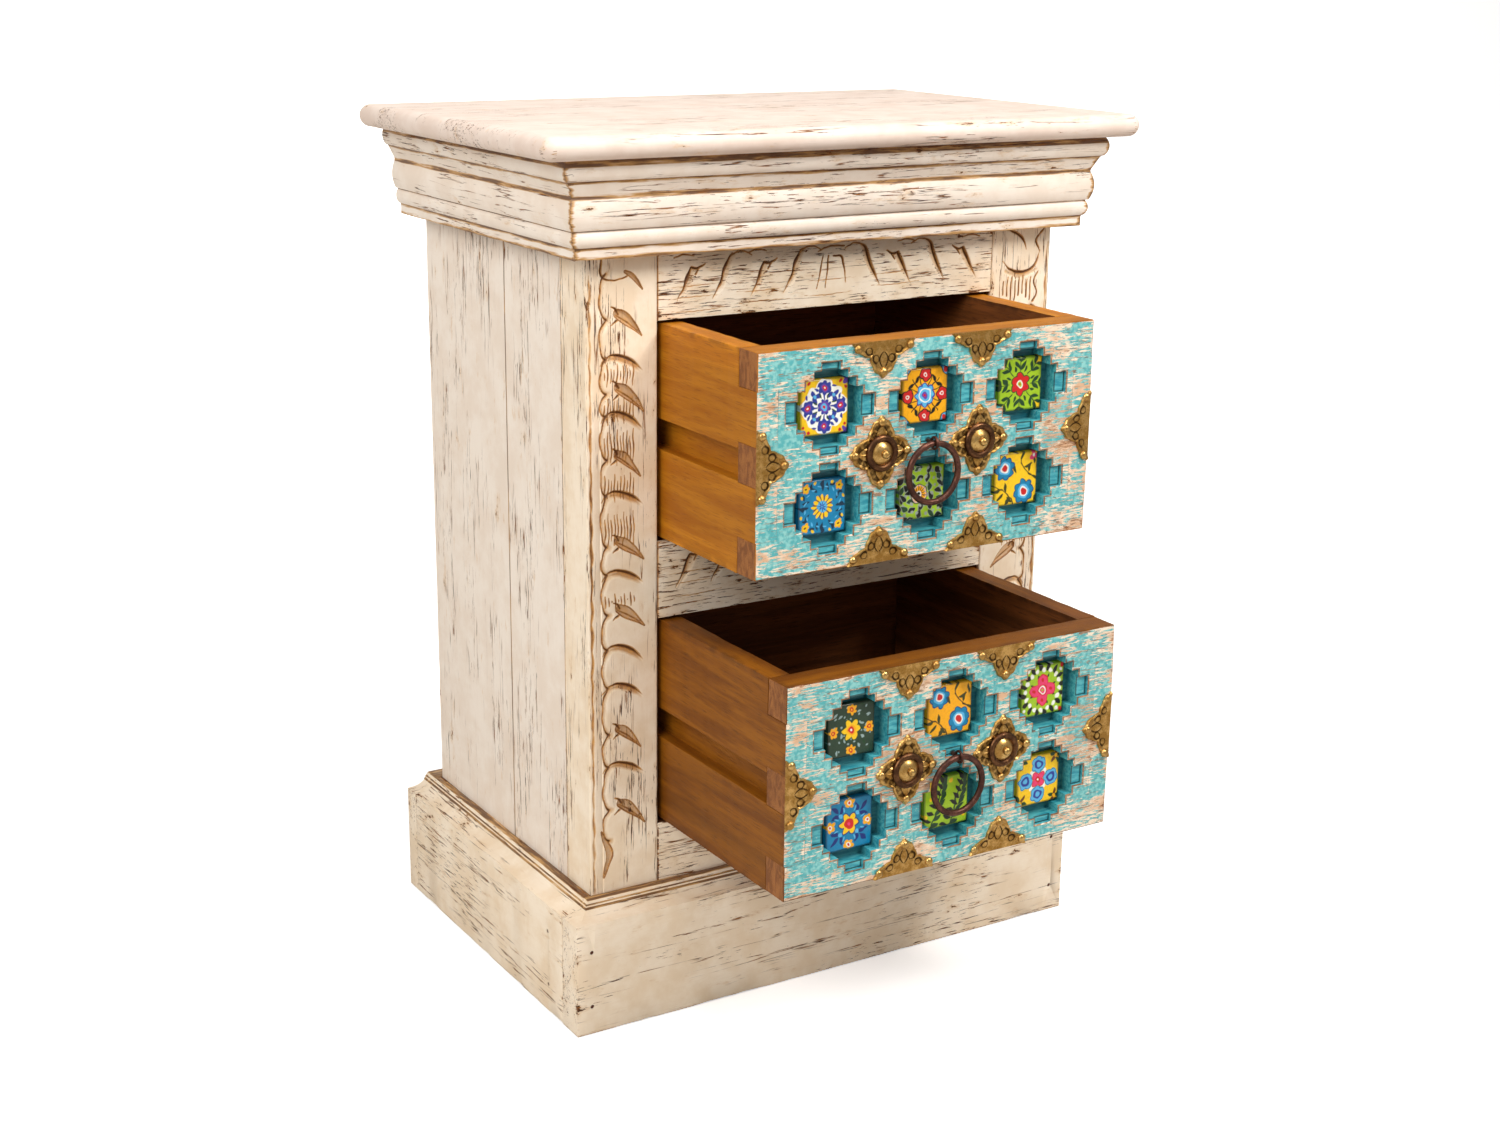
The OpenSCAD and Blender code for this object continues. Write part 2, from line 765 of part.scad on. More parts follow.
module lower_front() { at_lower() drawer_front(); }
module lower_side_right() { at_lower() drawer_side(); }
module lower_side_left() { at_lower() mirror([1, 0, 0]) drawer_side(); }
module lower_back() { at_lower() drawer_back(); }
module lower_bottom() { at_lower() drawer_bottom(); }
module lower_tile_top_left() { at_lower() tile(0, [0.2, 0.3, 0.2]); }
module lower_tile_top_middle() { at_lower() tile(1, [0.97, 0.68, 0.12]); }
module lower_tile_top_right() { at_lower() tile(2, [0.72, 0.8, 0.45]); }
module lower_tile_bottom_left() { at_lower() tile(3, [0.06, 0.4, 0.7]); }
module lower_tile_bottom_middle() { at_lower() tile(4, [0.7, 0.78, 0.15]); }
module lower_tile_bottom_right() { at_lower() tile(5, [0.93, 0.83, 0.12]); }
module lower_medallions() { at_lower() medallions(); }
module lower_edge_plates() { at_lower() edge_plates(); }
module lower_nails() { at_lower() face_nails(); }
module lower_washers() { at_lower() washers(); }
module lower_domes() { at_lower() domes(); }
module lower_staple() { at_lower() staple(); }
module lower_ring() { at_lower() pull_ring(); }

top_board();
cornice_front();
cornice_left();
cornice_right();
side_panel_left();
side_panel_right();
back_panel();
floor_panel();
stile_left();
stile_right();
rail_top();
rail_middle();
rail_bottom();
plinth_front();
plinth_left();
plinth_right();
plinth_back();
upper_runners();
lower_runners();
glue_blocks();
top_screws();
plinth_nails();
upper_front();
upper_side_left();
upper_side_right();
upper_back();
upper_bottom();
upper_tile_top_left();
upper_tile_top_middle();
upper_tile_top_right();
upper_tile_bottom_left();
upper_tile_bottom_middle();
upper_tile_bottom_right();
upper_medallions();
upper_edge_plates();
upper_nails();
upper_washers();
upper_domes();
upper_staple();
upper_ring();
lower_front();
lower_side_left();
lower_side_right();
lower_back();
lower_bottom();
lower_tile_top_left();
lower_tile_top_middle();
lower_tile_top_right();
lower_tile_bottom_left();
lower_tile_bottom_middle();
lower_tile_bottom_right();
lower_medallions();
lower_edge_plates();
lower_nails();
lower_washers();
lower_domes();
lower_staple();
lower_ring();
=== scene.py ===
"""Looks of a painted two-drawer nightstand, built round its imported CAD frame.

Lengths in the mesh code are millimetres until a piece is finished, and metres after that.
"""

from __future__ import annotations

import logging
import math
from dataclasses import dataclass
from enum import Enum
from functools import lru_cache, partialmethod
from typing import Callable, Iterable, Sequence, Union

import bmesh
import bpy
import numpy as np
from mathutils import Matrix, Vector, noise


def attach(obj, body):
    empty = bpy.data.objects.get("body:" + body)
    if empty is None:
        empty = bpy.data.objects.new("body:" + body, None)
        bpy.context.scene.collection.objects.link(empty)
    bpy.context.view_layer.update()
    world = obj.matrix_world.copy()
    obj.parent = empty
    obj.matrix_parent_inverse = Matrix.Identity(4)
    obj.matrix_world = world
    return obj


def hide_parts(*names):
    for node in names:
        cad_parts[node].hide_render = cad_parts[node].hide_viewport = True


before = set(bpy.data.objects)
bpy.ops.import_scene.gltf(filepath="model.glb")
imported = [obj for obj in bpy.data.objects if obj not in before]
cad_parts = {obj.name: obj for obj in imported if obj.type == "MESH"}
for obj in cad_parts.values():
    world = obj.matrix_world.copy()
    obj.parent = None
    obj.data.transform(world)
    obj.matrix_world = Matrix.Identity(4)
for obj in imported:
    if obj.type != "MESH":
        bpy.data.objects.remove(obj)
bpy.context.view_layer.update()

LOG = logging.getLogger("nightstand")
MM = 0.001
PER_METRE = 1000.0
TOUCH = 0.001  # Distance at which points count as one
NEAR = 0.2  # Distance at which a face counts as lying in another one
BORE_EDGE = 2.0  # Edges up to this length belong to bores and stay sharp
SIDE_T = 18.0  # Thickness of the drawers' sides and of the posts behind the stiles
PITCH = 89.0  # Distance between two columns of tiles
HALF_FACE = 83.0  # Half the height of a drawer's face
COLUMNS = (-PITCH / 2, PITCH / 2)  # Places across of the two columns of plates
NAIL_OUT = 23.0  # Distance from a plate's middle to its nails
PLANK_JOINT = -171.0  # Place along Y of the joint between a side panel's planks

Mesh = bmesh.types.BMesh
Numbers = np.ndarray
Socket = bpy.types.NodeSocket
Value = Union[Socket, float, int, Sequence[float]]
Colour = tuple[float, float, float, float]


def srgb(red: float, green: float, blue: float) -> Colour:
    """Turns a screen colour into the linear colour that the shaders use.

    Args:
        red: Red from 0 to 255.
        green: Green from 0 to 255.
        blue: Blue from 0 to 255.

    Returns:
        Linear red, green, blue and an alpha of one.
    """

    def linear(part: float) -> float:
        """Undoes the screen's curve for one part."""
        part /= 255
        return part / 12.92 if part <= 0.04045 else ((part + 0.055) / 1.055) ** 2.4

    return (linear(red), linear(green), linear(blue), 1.0)


class Axis(Enum):
    """Direction in which a board's grain runs."""

    X = 0
    Y = 1
    Z = 2


class Graph:
    """Short way to write a node tree."""

    def __init__(self, tree: bpy.types.NodeTree) -> None:
        """Wraps a tree.

        Args:
            tree: Node tree of a material or a shader group.
        """
        self.tree = tree

    def node(self, kind: str, *values: Value, **settings: object) -> bpy.types.Node:
        """Adds a node.

        Args:
            kind: Type name of the node.
            *values: Its first inputs.
            **settings: Properties to set on it.

        Returns:
            The new node.
        """
        made = self.tree.nodes.new(kind)
        for name, value in settings.items():
            setattr(made, name, value)
        for socket, value in zip(made.inputs, values):
            self.feed(socket, value)
        return made

    def feed(self, socket: Socket, value: Value) -> None:
        """Links an output to a socket, or sets the socket's own value.

        Args:
            socket: Input socket.
            value: Output socket or constant.
        """
        if isinstance(value, bpy.types.NodeSocket):
            self.tree.links.new(value, socket)
        else:
            socket.default_value = value

    def fill(self, sockets: bpy.types.NodeInputs, values: dict[str, Value]) -> None:
        """Feeds several sockets.

        Args:
            sockets: Inputs of a node.
            values: Output sockets or constants, by the inputs' names.
        """
        for name, value in values.items():
            self.feed(sockets[name], value)

    def math(self, operation: str, *values: Value) -> Socket:
        """Adds a Math node.

        Args:
            operation: Name of the operation.
            *values: Its inputs.

        Returns:
            The result.
        """
        return self.node("ShaderNodeMath", *values, operation=operation).outputs[0]

    # The commonest operations, each called with its inputs alone
    add = partialmethod(math, "ADD")
    sub = partialmethod(math, "SUBTRACT")
    mul = partialmethod(math, "MULTIPLY")
    most = partialmethod(math, "MAXIMUM")
    absolute = partialmethod(math, "ABSOLUTE")

    def vector(self, operation: str, *values: Value) -> Socket:
        """Adds a Vector Math node.

        Args:
            operation: Name of the operation.
            *values: Its inputs.

        Returns:
            The resulting vector.
        """
        return self.node("ShaderNodeVectorMath", *values, operation=operation).outputs[0]

    def parts(self, vector: Value) -> tuple[Socket, Socket, Socket]:
        """Splits a vector into its three numbers.

        Args:
            vector: Vector to split.

        Returns:
            X, Y and Z.
        """
        return tuple(self.node("ShaderNodeSeparateXYZ", vector).outputs)

    def noise(self, vector: Value, scale: float, detail: float = 2.0, rough: float = 0.5,
              distortion: float = 0.0) -> Socket:
        """Adds a noise texture.

        Args:
            vector: Place to look it up.
            scale: Waves for each unit of length.
            detail: Number of finer layers.
            rough: Strength of the finer layers.
            distortion: Amount of swirl.

        Returns:
            The noise, from about 0.25 to 0.75.
        """
        made = self.node("ShaderNodeTexNoise")
        self.fill(made.inputs, {"Vector": vector, "Scale": scale, "Detail": detail, "Roughness": rough,
                                "Distortion": distortion})
        return made.outputs[0]

    def step(self, value: Value, low: Value, high: Value, start: float = 0.0, end: float = 1.0) -> Socket:
        """Rises smoothly from start to end while the value goes from low to high.

        Args:
            value: Value to read.
            low: Value at which the rise starts.
            high: Value at which it ends.
            start: Result below low.
            end: Result above high.

        Returns:
            The smooth step.
        """
        made = self.node("ShaderNodeMapRange", value, low, high, start, end, interpolation_type="SMOOTHSTEP")
        return made.outputs[0]

    def mix(self, share: Value, first: Value, second: Value, blend: str = "MIX") -> Socket:
        """Blends two colours.

        Args:
            share: Share of the second colour.
            first: First colour.
            second: Second colour.
            blend: Kind of blend.

        Returns:
            The blended colour.
        """
        made = self.node("ShaderNodeMix", share, data_type="RGBA", blend_type=blend)
        self.feed(made.inputs[6], first)
        self.feed(made.inputs[7], second)
        return made.outputs[2]

    def attribute(self, name: str, output: str = "Fac") -> Socket:
        """Reads an attribute of the mesh.

        Args:
            name: Name of the attribute.
            output: Fac, Color or Vector.

        Returns:
            Its value.
        """
        return self.node("ShaderNodeAttribute", attribute_name=name).outputs[output]

    def place(self) -> Socket:
        """Gives the place on the piece in millimetres.

        Returns:
            The vector.
        """
        return self.vector("MULTIPLY", self.node("ShaderNodeTexCoord").outputs["Object"], (PER_METRE,) * 3)

    def stretched(self, place: Value, axis: Axis, along: float, shift: float = 0.0) -> Socket:
        """Squeezes space along the grain, so that noise looked up in it comes out in streaks.

        Args:
            place: Place in millimetres.
            axis: Direction of the grain.
            along: Factor along the grain, below one for long streaks.
            shift: Distance to another part of the noise.

        Returns:
            The squeezed place.
        """
        made = self.node("ShaderNodeMapping", place, (shift, shift * 1.7, shift * 0.6))
        made.inputs["Scale"].default_value[axis.value] = along
        return made.outputs[0]

    def group(self, tree: bpy.types.NodeTree, **values: Value) -> bpy.types.NodeOutputs:
        """Adds a shader group.

        Args:
            tree: The group's tree.
            **values: Inputs by name.

        Returns:
            Its outputs.
        """
        made = self.node("ShaderNodeGroup", node_tree=tree)
        self.fill(made.inputs, values)
        return made.outputs

    def bump(self, height: Value, distance: float, strength: float = 1.0) -> Socket:
        """Adds a bump.

        Args:
            height: Height from zero to one.
            distance: Height of one, in metres.
            strength: Share of the effect.

        Returns:
            The bent normal.
        """
        made = self.node("ShaderNodeBump")
        self.fill(made.inputs, {"Strength": strength, "Distance": distance, "Height": height})
        return made.outputs[0]


def new_group(name: str, inputs: dict[str, str], outputs: dict[str, str]) -> tuple[Graph, Socket, Socket]:
    """Starts a shader group.

    Args:
        name: Name of the group.
        inputs: Socket types by name.
        outputs: Socket types by name.

    Returns:
        The graph, the group's input sockets and its output sockets.
    """
    tree = bpy.data.node_groups.new(name, "ShaderNodeTree")
    for direction, sockets in (("INPUT", inputs), ("OUTPUT", outputs)):
        for socket, kind in sockets.items():
            tree.interface.new_socket(name=socket, in_out=direction, socket_type=kind)
    graph = Graph(tree)
    entry = graph.node("NodeGroupInput")
    leave = graph.node("NodeGroupOutput")
    return graph, entry.outputs, leave.inputs


FLOAT = "NodeSocketFloat"
VECTOR = "NodeSocketVector"


@lru_cache(maxsize=None)
def edge_group() -> bpy.types.NodeTree:
    """Makes the group that measures how near a point lies to the edges of its board.

    Returns:
        The group. Edge and Depth behind the board's front are in millimetres, Arris and Crease are
        one on outer and inner corners, and Middle is the place from the board's middle.
    """
    outputs = {"Edge": FLOAT, "Arris": FLOAT, "Crease": FLOAT, "Depth": FLOAT, "Middle": VECTOR}
    graph, source, sink = new_group("Board edges", {"Place": VECTOR}, outputs)
    low = graph.vector("MULTIPLY", graph.attribute("low", "Vector"), (PER_METRE,) * 3)
    high = graph.vector("MULTIPLY", graph.attribute("high", "Vector"), (PER_METRE,) * 3)
    near = graph.vector("MINIMUM", graph.vector("SUBTRACT", source["Place"], low),
                        graph.vector("SUBTRACT", high, source["Place"]))
    x, y, z = graph.parts(near)
    both = graph.math("MINIMUM", graph.most(x, y), z)
    middle = graph.vector("MULTIPLY", graph.vector("ADD", low, high), (0.5,) * 3)
    graph.fill(sink, {
        "Edge": graph.most(graph.math("MINIMUM", x, y), both),
        "Arris": graph.attribute("arris"),
        "Crease": graph.attribute("crease"),
        "Depth": graph.parts(graph.vector("SUBTRACT", source["Place"], low))[1],
        "Middle": graph.vector("SUBTRACT", source["Place"], middle)})
    return graph.tree


@lru_cache(maxsize=None)
def crack_group() -> bpy.types.NodeTree:
    """Makes the group of grain cracks, chips and brush streaks that all the painted boards share.

    Returns:
        The group. Fine, Long and Wide are places squeezed along the grain by different amounts.
    """
    inputs = {"Fine": VECTOR, "Long": VECTOR, "Wide": VECTOR, "Edge": FLOAT, "Arris": FLOAT, "Wear": FLOAT}
    outputs = {"Cracks": FLOAT, "Chips": FLOAT, "Halo": FLOAT, "Streaks": FLOAT}
    graph, source, sink = new_group("Paint wear", inputs, outputs)
    wear = source["Wear"]
    # Cracks: short flecks and long splits, crowded where the broad noise is high
    cluster = graph.noise(source["Wide"], 0.024, 3.0, 0.62)
    rim = graph.step(source["Edge"], 14.0, 0.0, 0.0, 0.06)
    reach = graph.add(graph.add(cluster, rim), graph.mul(wear, 0.24))
    crowded = graph.step(reach, 0.515, 0.71)
    flecks = graph.noise(source["Fine"], 0.78, 4.0, 0.66)
    threshold = graph.sub(0.7, graph.mul(crowded, 0.11))
    fleck = graph.step(graph.sub(flecks, threshold), 0.0, 0.025)
    splits = graph.noise(source["Long"], 0.1, 3.0, 0.55)
    ridge = graph.absolute(graph.sub(splits, 0.5))
    torn = graph.step(flecks, 0.44, 0.56)
    torn = graph.mul(graph.step(reach, 0.5, 0.6), torn)
    split = graph.mul(graph.step(ridge, 0.016, 0.005), torn)
    cracks = graph.most(graph.mul(fleck, graph.step(crowded, 0.0, 0.3, 0.12, 1.0)), split)
    # Chips: broad patches, more of them at edges and arrises
    blotch = graph.noise(source["Wide"], 0.11, 5.0, 0.68)
    near = graph.step(source["Edge"], 5.0, 0.0, 0.0, 0.075)
    lift = graph.add(near, graph.mul(source["Arris"], 0.13))
    amount = graph.add(graph.add(blotch, lift), graph.mul(crowded, 0.045))
    amount = graph.add(amount, graph.mul(wear, 0.05))
    graph.fill(sink, {
        "Cracks": cracks,
        "Chips": graph.step(amount, 0.715, 0.735),
        "Halo": graph.step(amount, 0.60, 0.74),
        "Streaks": graph.noise(source["Fine"], 0.85, 3.0, 0.6)})
    return graph.tree


@lru_cache(maxsize=None)
def wood_group() -> bpy.types.NodeTree:
    """Makes the group of wood grain that the bare woods share.

    Returns:
        The group. Figure is the broad grain, Pores the fine dark lines.
    """
    graph, source, sink = new_group("Wood grain", {"Fine": VECTOR, "Long": VECTOR},
                                    {"Figure": FLOAT, "Pores": FLOAT, "Tone": FLOAT})
    bands = graph.noise(source["Long"], 0.09, 4.0, 0.6, 0.6)
    fine = graph.noise(source["Fine"], 0.5, 3.0, 0.6)
    graph.fill(sink, {
        "Figure": graph.step(graph.add(graph.mul(bands, 0.8), graph.mul(fine, 0.2)), 0.36, 0.64),
        "Pores": graph.step(graph.noise(source["Fine"], 1.3, 2.0, 0.5), 0.56, 0.68),
        "Tone": graph.noise(source["Long"], 0.02, 2.0, 0.5)})
    return graph.tree


@dataclass(frozen=True)
class Finish:
    """A surface finish, made into a material when it is first used."""

    name: str

    def shade(self, graph: Graph, surface: bpy.types.Node) -> None:
        """Fills in the material.

        Args:
            graph: The material's nodes.
            surface: Its Principled BSDF.
        """
        raise NotImplementedError

    def material(self) -> bpy.types.Material:
        """Gives the material of this finish.

        Returns:
            The material.
        """
        made = bpy.data.materials.get(self.name)
        if made is None:
            made = bpy.data.materials.new(self.name)
            made.use_nodes = True
            self.shade(Graph(made.node_tree), made.node_tree.nodes["Principled BSDF"])
        return made


@dataclass(frozen=True)
class WornPaint(Finish):
    """Brushed paint over bare wood, cracked along the grain and worn at the edges."""

    axis: Axis
    light: Colour = srgb(244, 232, 218)
    dark: Colour = srgb(236, 220, 203)
    halo: Colour = srgb(219, 184, 140)
    wood_light: Colour = srgb(152, 96, 44)
    wood_dark: Colour = srgb(72, 38, 12)
    # Pale wash of stain, which also colours the painted shade of the carved relief
    thin_stain_and_shade: Colour = srgb(218, 180, 130)
    ochre: Colour = srgb(204, 146, 74)
    sienna: Colour = srgb(156, 96, 36)
    soaked: Colour = srgb(88, 50, 18)
    # Colours of the grime and painted shade in the corners and under the top
    pale_grime_and_shade: Colour = srgb(196, 146, 78)
    dark_grime_and_shade: Colour = srgb(104, 64, 26)

    def shade(self, graph: Graph, surface: bpy.types.Node) -> None:
        """Fills in the material; Finish.shade lists the arguments."""
        place = graph.place()
        edges = graph.group(edge_group(), Place=place)
        wear = graph.attribute("wear")
        stain = graph.attribute("stain")
        marks = graph.group(
            crack_group(),
            Fine=graph.stretched(place, self.axis, 0.065),
            Long=graph.stretched(place, self.axis, 0.045, 37.0),
            Wide=graph.stretched(place, self.axis, 0.3, 11.0),
            Edge=edges["Edge"], Arris=edges["Arris"], Wear=wear)
        mottle = graph.noise(place, 0.03, 4.0, 0.6)
        paint = graph.mix(graph.step(mottle, 0.35, 0.65), self.light, self.dark)
        paint = graph.mix(graph.mul(graph.step(marks["Streaks"], 0.52, 0.7), 0.3), paint, self.dark)
        paint = graph.mix(graph.mul(marks["Halo"], 0.6), paint, self.halo)
        wood = graph.mix(graph.step(marks["Streaks"], 0.4, 0.62), self.wood_dark, self.wood_light)
        bare = graph.most(marks["Cracks"], marks["Chips"])
        # Stain soaked into the carving, paler towards its border; what comes from the broad shallow bands is
        # painted shade of the relief
        smear = graph.noise(place, 0.22, 3.0, 0.6)
        wet_and_shade = graph.sub(stain, graph.mul(smear, 0.3))
        ochre = graph.mix(graph.step(smear, 0.35, 0.65), self.ochre, self.sienna)
        colour = graph.mix(graph.step(wet_and_shade, 0.0, 0.2, 0.0, 0.6), paint, self.thin_stain_and_shade)
        colour = graph.mix(graph.step(wet_and_shade, 0.14, 0.42, 0.0, 0.92), colour, ochre)
        colour = graph.mix(graph.step(stain, 0.62, 0.95, 0.0, 0.88), colour, self.soaked)
        # Grime and painted shade in the corners and in the band under the top, broken up by streaks along the
        # grain
        grime = graph.most(edges["Crease"], graph.attribute("grime"))
        streaky = graph.noise(graph.stretched(place, self.axis, 0.09, 51.0), 0.3, 4.0, 0.62)
        patchy = graph.mul(graph.sub(streaky, 0.5), 2.4)
        dirt_and_shade = graph.step(graph.add(grime, patchy), 0.25, 0.8, 0.0, 0.95)
        dirt_and_shade = graph.mul(dirt_and_shade, graph.step(grime, 0.0, 0.25))
        dark_grime_and_shade = graph.step(graph.add(grime, patchy), 0.7, 1.15)
        dark_grime_and_shade = graph.mix(dark_grime_and_shade, self.pale_grime_and_shade, self.dark_grime_and_shade)
        colour = graph.mix(dirt_and_shade, colour, dark_grime_and_shade)
        colour = graph.mix(bare, colour, wood)
        height = graph.sub(graph.mul(marks["Streaks"], 0.25), bare)
        graph.fill(surface.inputs, {
            "Base Color": colour,
            "Roughness": graph.step(bare, 0.0, 1.0, 0.5, 0.8),
            "Normal": graph.bump(height, 0.00035, 0.7)})


@dataclass(frozen=True)
class BrushedTurquoise(Finish):
    """Turquoise brushed over a pinkish cream, worn away round the brass plates and between the recesses."""

    top: Colour = srgb(80, 168, 172)
    pale: Colour = srgb(138, 200, 196)
    under: Colour = srgb(240, 220, 196)
    under_dark: Colour = srgb(214, 172, 136)
    lip_dark: Colour = srgb(86, 54, 30)
    lip_light: Colour = srgb(168, 112, 62)
    wood_dark: Colour = srgb(104, 60, 28)
    wood_light: Colour = srgb(170, 112, 66)

    def shade(self, graph: Graph, surface: bpy.types.Node) -> None:
        """Fills in the material; Finish.shade lists the arguments."""
        place = graph.place()
        edges = graph.group(edge_group(), Place=place)
        marks = graph.group(
            crack_group(),
            Fine=graph.stretched(place, Axis.X, 0.16, 5.0),
            Long=graph.stretched(place, Axis.X, 0.05, 23.0),
            Wide=graph.stretched(place, Axis.X, 0.4, 31.0),
            Edge=edges["Edge"], Arris=edges["Arris"], Wear=0.35)
        x, _, z = graph.parts(edges["Middle"])
        # Distance to the plates' rows, folded so that the plates of all the edges count alike
        fold_x = graph.absolute(graph.math("PINGPONG", graph.add(x, PITCH * 1.5), PITCH))
        plate_x = graph.absolute(graph.sub(fold_x, PITCH))
        z_edge = graph.sub(HALF_FACE, graph.absolute(z))
        bar = graph.absolute(z)
        square = graph.mul(plate_x, plate_x)
        centre, rim = (graph.math("SQRT", graph.add(square, graph.mul(up, up))) for up in (bar, z_edge))
        near = graph.most(graph.step(centre, 42.0, 20.0), graph.step(rim, 38.0, 20.0, 0.0, 0.8))
        near = graph.most(near, graph.step(plate_x, 12.0, 2.0, 0.0, 0.45))
        # Worn where brush marks, rubbing round the plates and the board's edges add up
        cloud = graph.noise(graph.stretched(place, Axis.X, 0.5), 0.055, 4.0, 0.62)
        brushed = graph.noise(graph.stretched(place, Axis.X, 0.14, 3.0), 0.7, 4.0, 0.68)
        level = graph.add(graph.mul(brushed, 0.56), graph.mul(cloud, 0.47))
        worn = graph.add(level, graph.mul(near, 0.055))
        worn = graph.add(worn, graph.mul(edges["Arris"], 0.06))
        worn = graph.add(worn, graph.step(edges["Edge"], 4.0, 1.0, 0.0, 0.045))
        tint = graph.mix(graph.step(graph.noise(place, 0.3, 3.0), 0.38, 0.66), self.top, self.pale)
        pink = graph.mix(graph.step(cloud, 0.48, 0.66), self.under, self.under_dark)
        colour = graph.mix(graph.step(worn, 0.541, 0.561), tint, pink)
        # Dark lip at the border of the worn places and along the recesses
        lip = graph.step(graph.absolute(graph.sub(worn, 0.551)), 0.012, 0.003)
        lip = graph.mul(lip, graph.step(marks["Streaks"], 0.47, 0.55))
        cut = graph.step(graph.noise(place, 0.13, 3.0, 0.6), 0.38, 0.46)
        cut = graph.mul(edges["Arris"], cut)
        ring = graph.mul(graph.step(centre, 31.0, 26.0), graph.step(brushed, 0.47, 0.53))
        lip = graph.most(graph.most(lip, cut), graph.mul(ring, 0.7))
        brown = graph.mix(graph.step(brushed, 0.42, 0.58), self.lip_dark, self.lip_light)
        colour = graph.mix(graph.mul(lip, 0.88), colour, brown)
        wood = graph.mix(graph.step(marks["Streaks"], 0.4, 0.6), self.wood_dark, self.wood_light)
        flake = graph.step(graph.add(worn, graph.mul(marks["Streaks"], 0.3)), 0.815, 0.835)
        bare = graph.most(graph.mul(marks["Cracks"], 0.75),
                          graph.most(flake, graph.mul(marks["Chips"], 0.8)))
        colour = graph.mix(bare, colour, wood)
        height = graph.sub(brushed, graph.add(bare, graph.mul(worn, 0.6)))
        graph.fill(surface.inputs, {
            "Base Color": colour,
            "Roughness": 0.5,
            "Normal": graph.bump(height, 0.0004, 0.7)})


@dataclass(frozen=True)
class PocketPaint(Finish):
    """Deeper, little worn turquoise inside the tile recesses, with painted shade towards the recess floor and
    along the foot of the walls.
    """

    base: Colour = srgb(32, 134, 152)
    light: Colour = srgb(86, 178, 184)
    # The floor and corner colours are painted shade
    floor: Colour = srgb(12, 64, 76)
    scrape: Colour = srgb(206, 196, 176)
    corner: Colour = srgb(30, 44, 40)
    rim_dark: Colour = srgb(50, 42, 28)
    rim_light: Colour = srgb(196, 158, 118)

    def shade(self, graph: Graph, surface: bpy.types.Node) -> None:
        """Fills in the material; Finish.shade lists the arguments."""
        place = graph.place()
        brushed = graph.noise(graph.stretched(place, Axis.X, 0.2), 0.4, 4.0, 0.6)
        colour = graph.mix(graph.step(brushed, 0.35, 0.62), self.base, self.light)
        scraped = graph.step(graph.noise(place, 0.35, 4.0, 0.7), 0.64, 0.7)
        colour = graph.mix(graph.mul(scraped, 0.6), colour, self.scrape)
        edges = graph.group(edge_group(), Place=place)
        # Painted shade: darker with depth towards the recess floor, and dark along the foot of the walls
        colour = graph.mix(graph.step(edges["Depth"], 3.5, 14.5, 0.0, 0.62), colour, self.floor)
        colour = graph.mix(graph.mul(edges["Crease"], 0.8), colour, self.corner)
        arris = edges["Arris"]
        rubbed = graph.step(graph.noise(place, 0.16, 3.0, 0.6), 0.48, 0.56)
        rubbed = graph.mix(rubbed, self.rim_dark, self.rim_light)
        colour = graph.mix(graph.mul(arris, 0.95), colour, rubbed)
        graph.fill(surface.inputs, {
            "Base Color": colour,
            "Roughness": 0.42,
            "Normal": graph.bump(brushed, 0.0003, 0.5)})


@dataclass(frozen=True)
class BareWood(Finish):
    """Oiled or stained wood with no paint."""

    axis: Axis
    light: Colour
    mid: Colour
    dark: Colour
    roughness: float = 0.5

    def shade(self, graph: Graph, surface: bpy.types.Node) -> None:
        """Fills in the material; Finish.shade lists the arguments."""
        place = graph.place()
        edges = graph.group(edge_group(), Place=place)
        grain = graph.group(wood_group(), Fine=graph.stretched(place, self.axis, 0.05),
                            Long=graph.stretched(place, self.axis, 0.08, 19.0))
        colour = graph.mix(grain["Figure"], self.light, self.mid)
        colour = graph.mix(graph.step(grain["Tone"], 0.4, 0.62, 0.0, 0.45), colour, self.dark)
        colour = graph.mix(graph.mul(grain["Pores"], 0.5), colour, self.dark)
        soiled = graph.mul(graph.step(edges["Edge"], 7.0, 0.0),
                           graph.step(graph.noise(place, 0.06, 3.0), 0.42, 0.6))
        colour = graph.mix(graph.mul(soiled, 0.55), colour, self.dark)
        graph.fill(surface.inputs, {
            "Base Color": colour,
            "Roughness": self.roughness,
            "Specular IOR Level": 0.25,
            "Normal": graph.bump(grain["Pores"], 0.0002, 0.4)})


@dataclass(frozen=True)
class EndGrain(Finish):
    """Sawn end of a board: rings, pores and rough dark patches."""

    light: Colour = srgb(164, 104, 50)
    mid: Colour = srgb(128, 76, 34)
    pore: Colour = srgb(84, 46, 20)

    def shade(self, graph: Graph, surface: bpy.types.Node) -> None:
        """Fills in the material; Finish.shade lists the arguments."""
        place = graph.place()
        rings = graph.noise(graph.stretched(place, Axis.Z, 0.4), 0.16, 3.0, 0.6, 1.2)
        pores = graph.step(graph.noise(place, 1.4, 3.0, 0.7), 0.52, 0.64)
        colour = graph.mix(graph.step(rings, 0.38, 0.62), self.light, self.mid)
        colour = graph.mix(graph.mul(pores, 0.5), colour, self.pore)
        graph.fill(surface.inputs, {
            "Base Color": colour,
            "Roughness": 0.75,
            "Normal": graph.bump(pores, 0.0003, 0.6)})


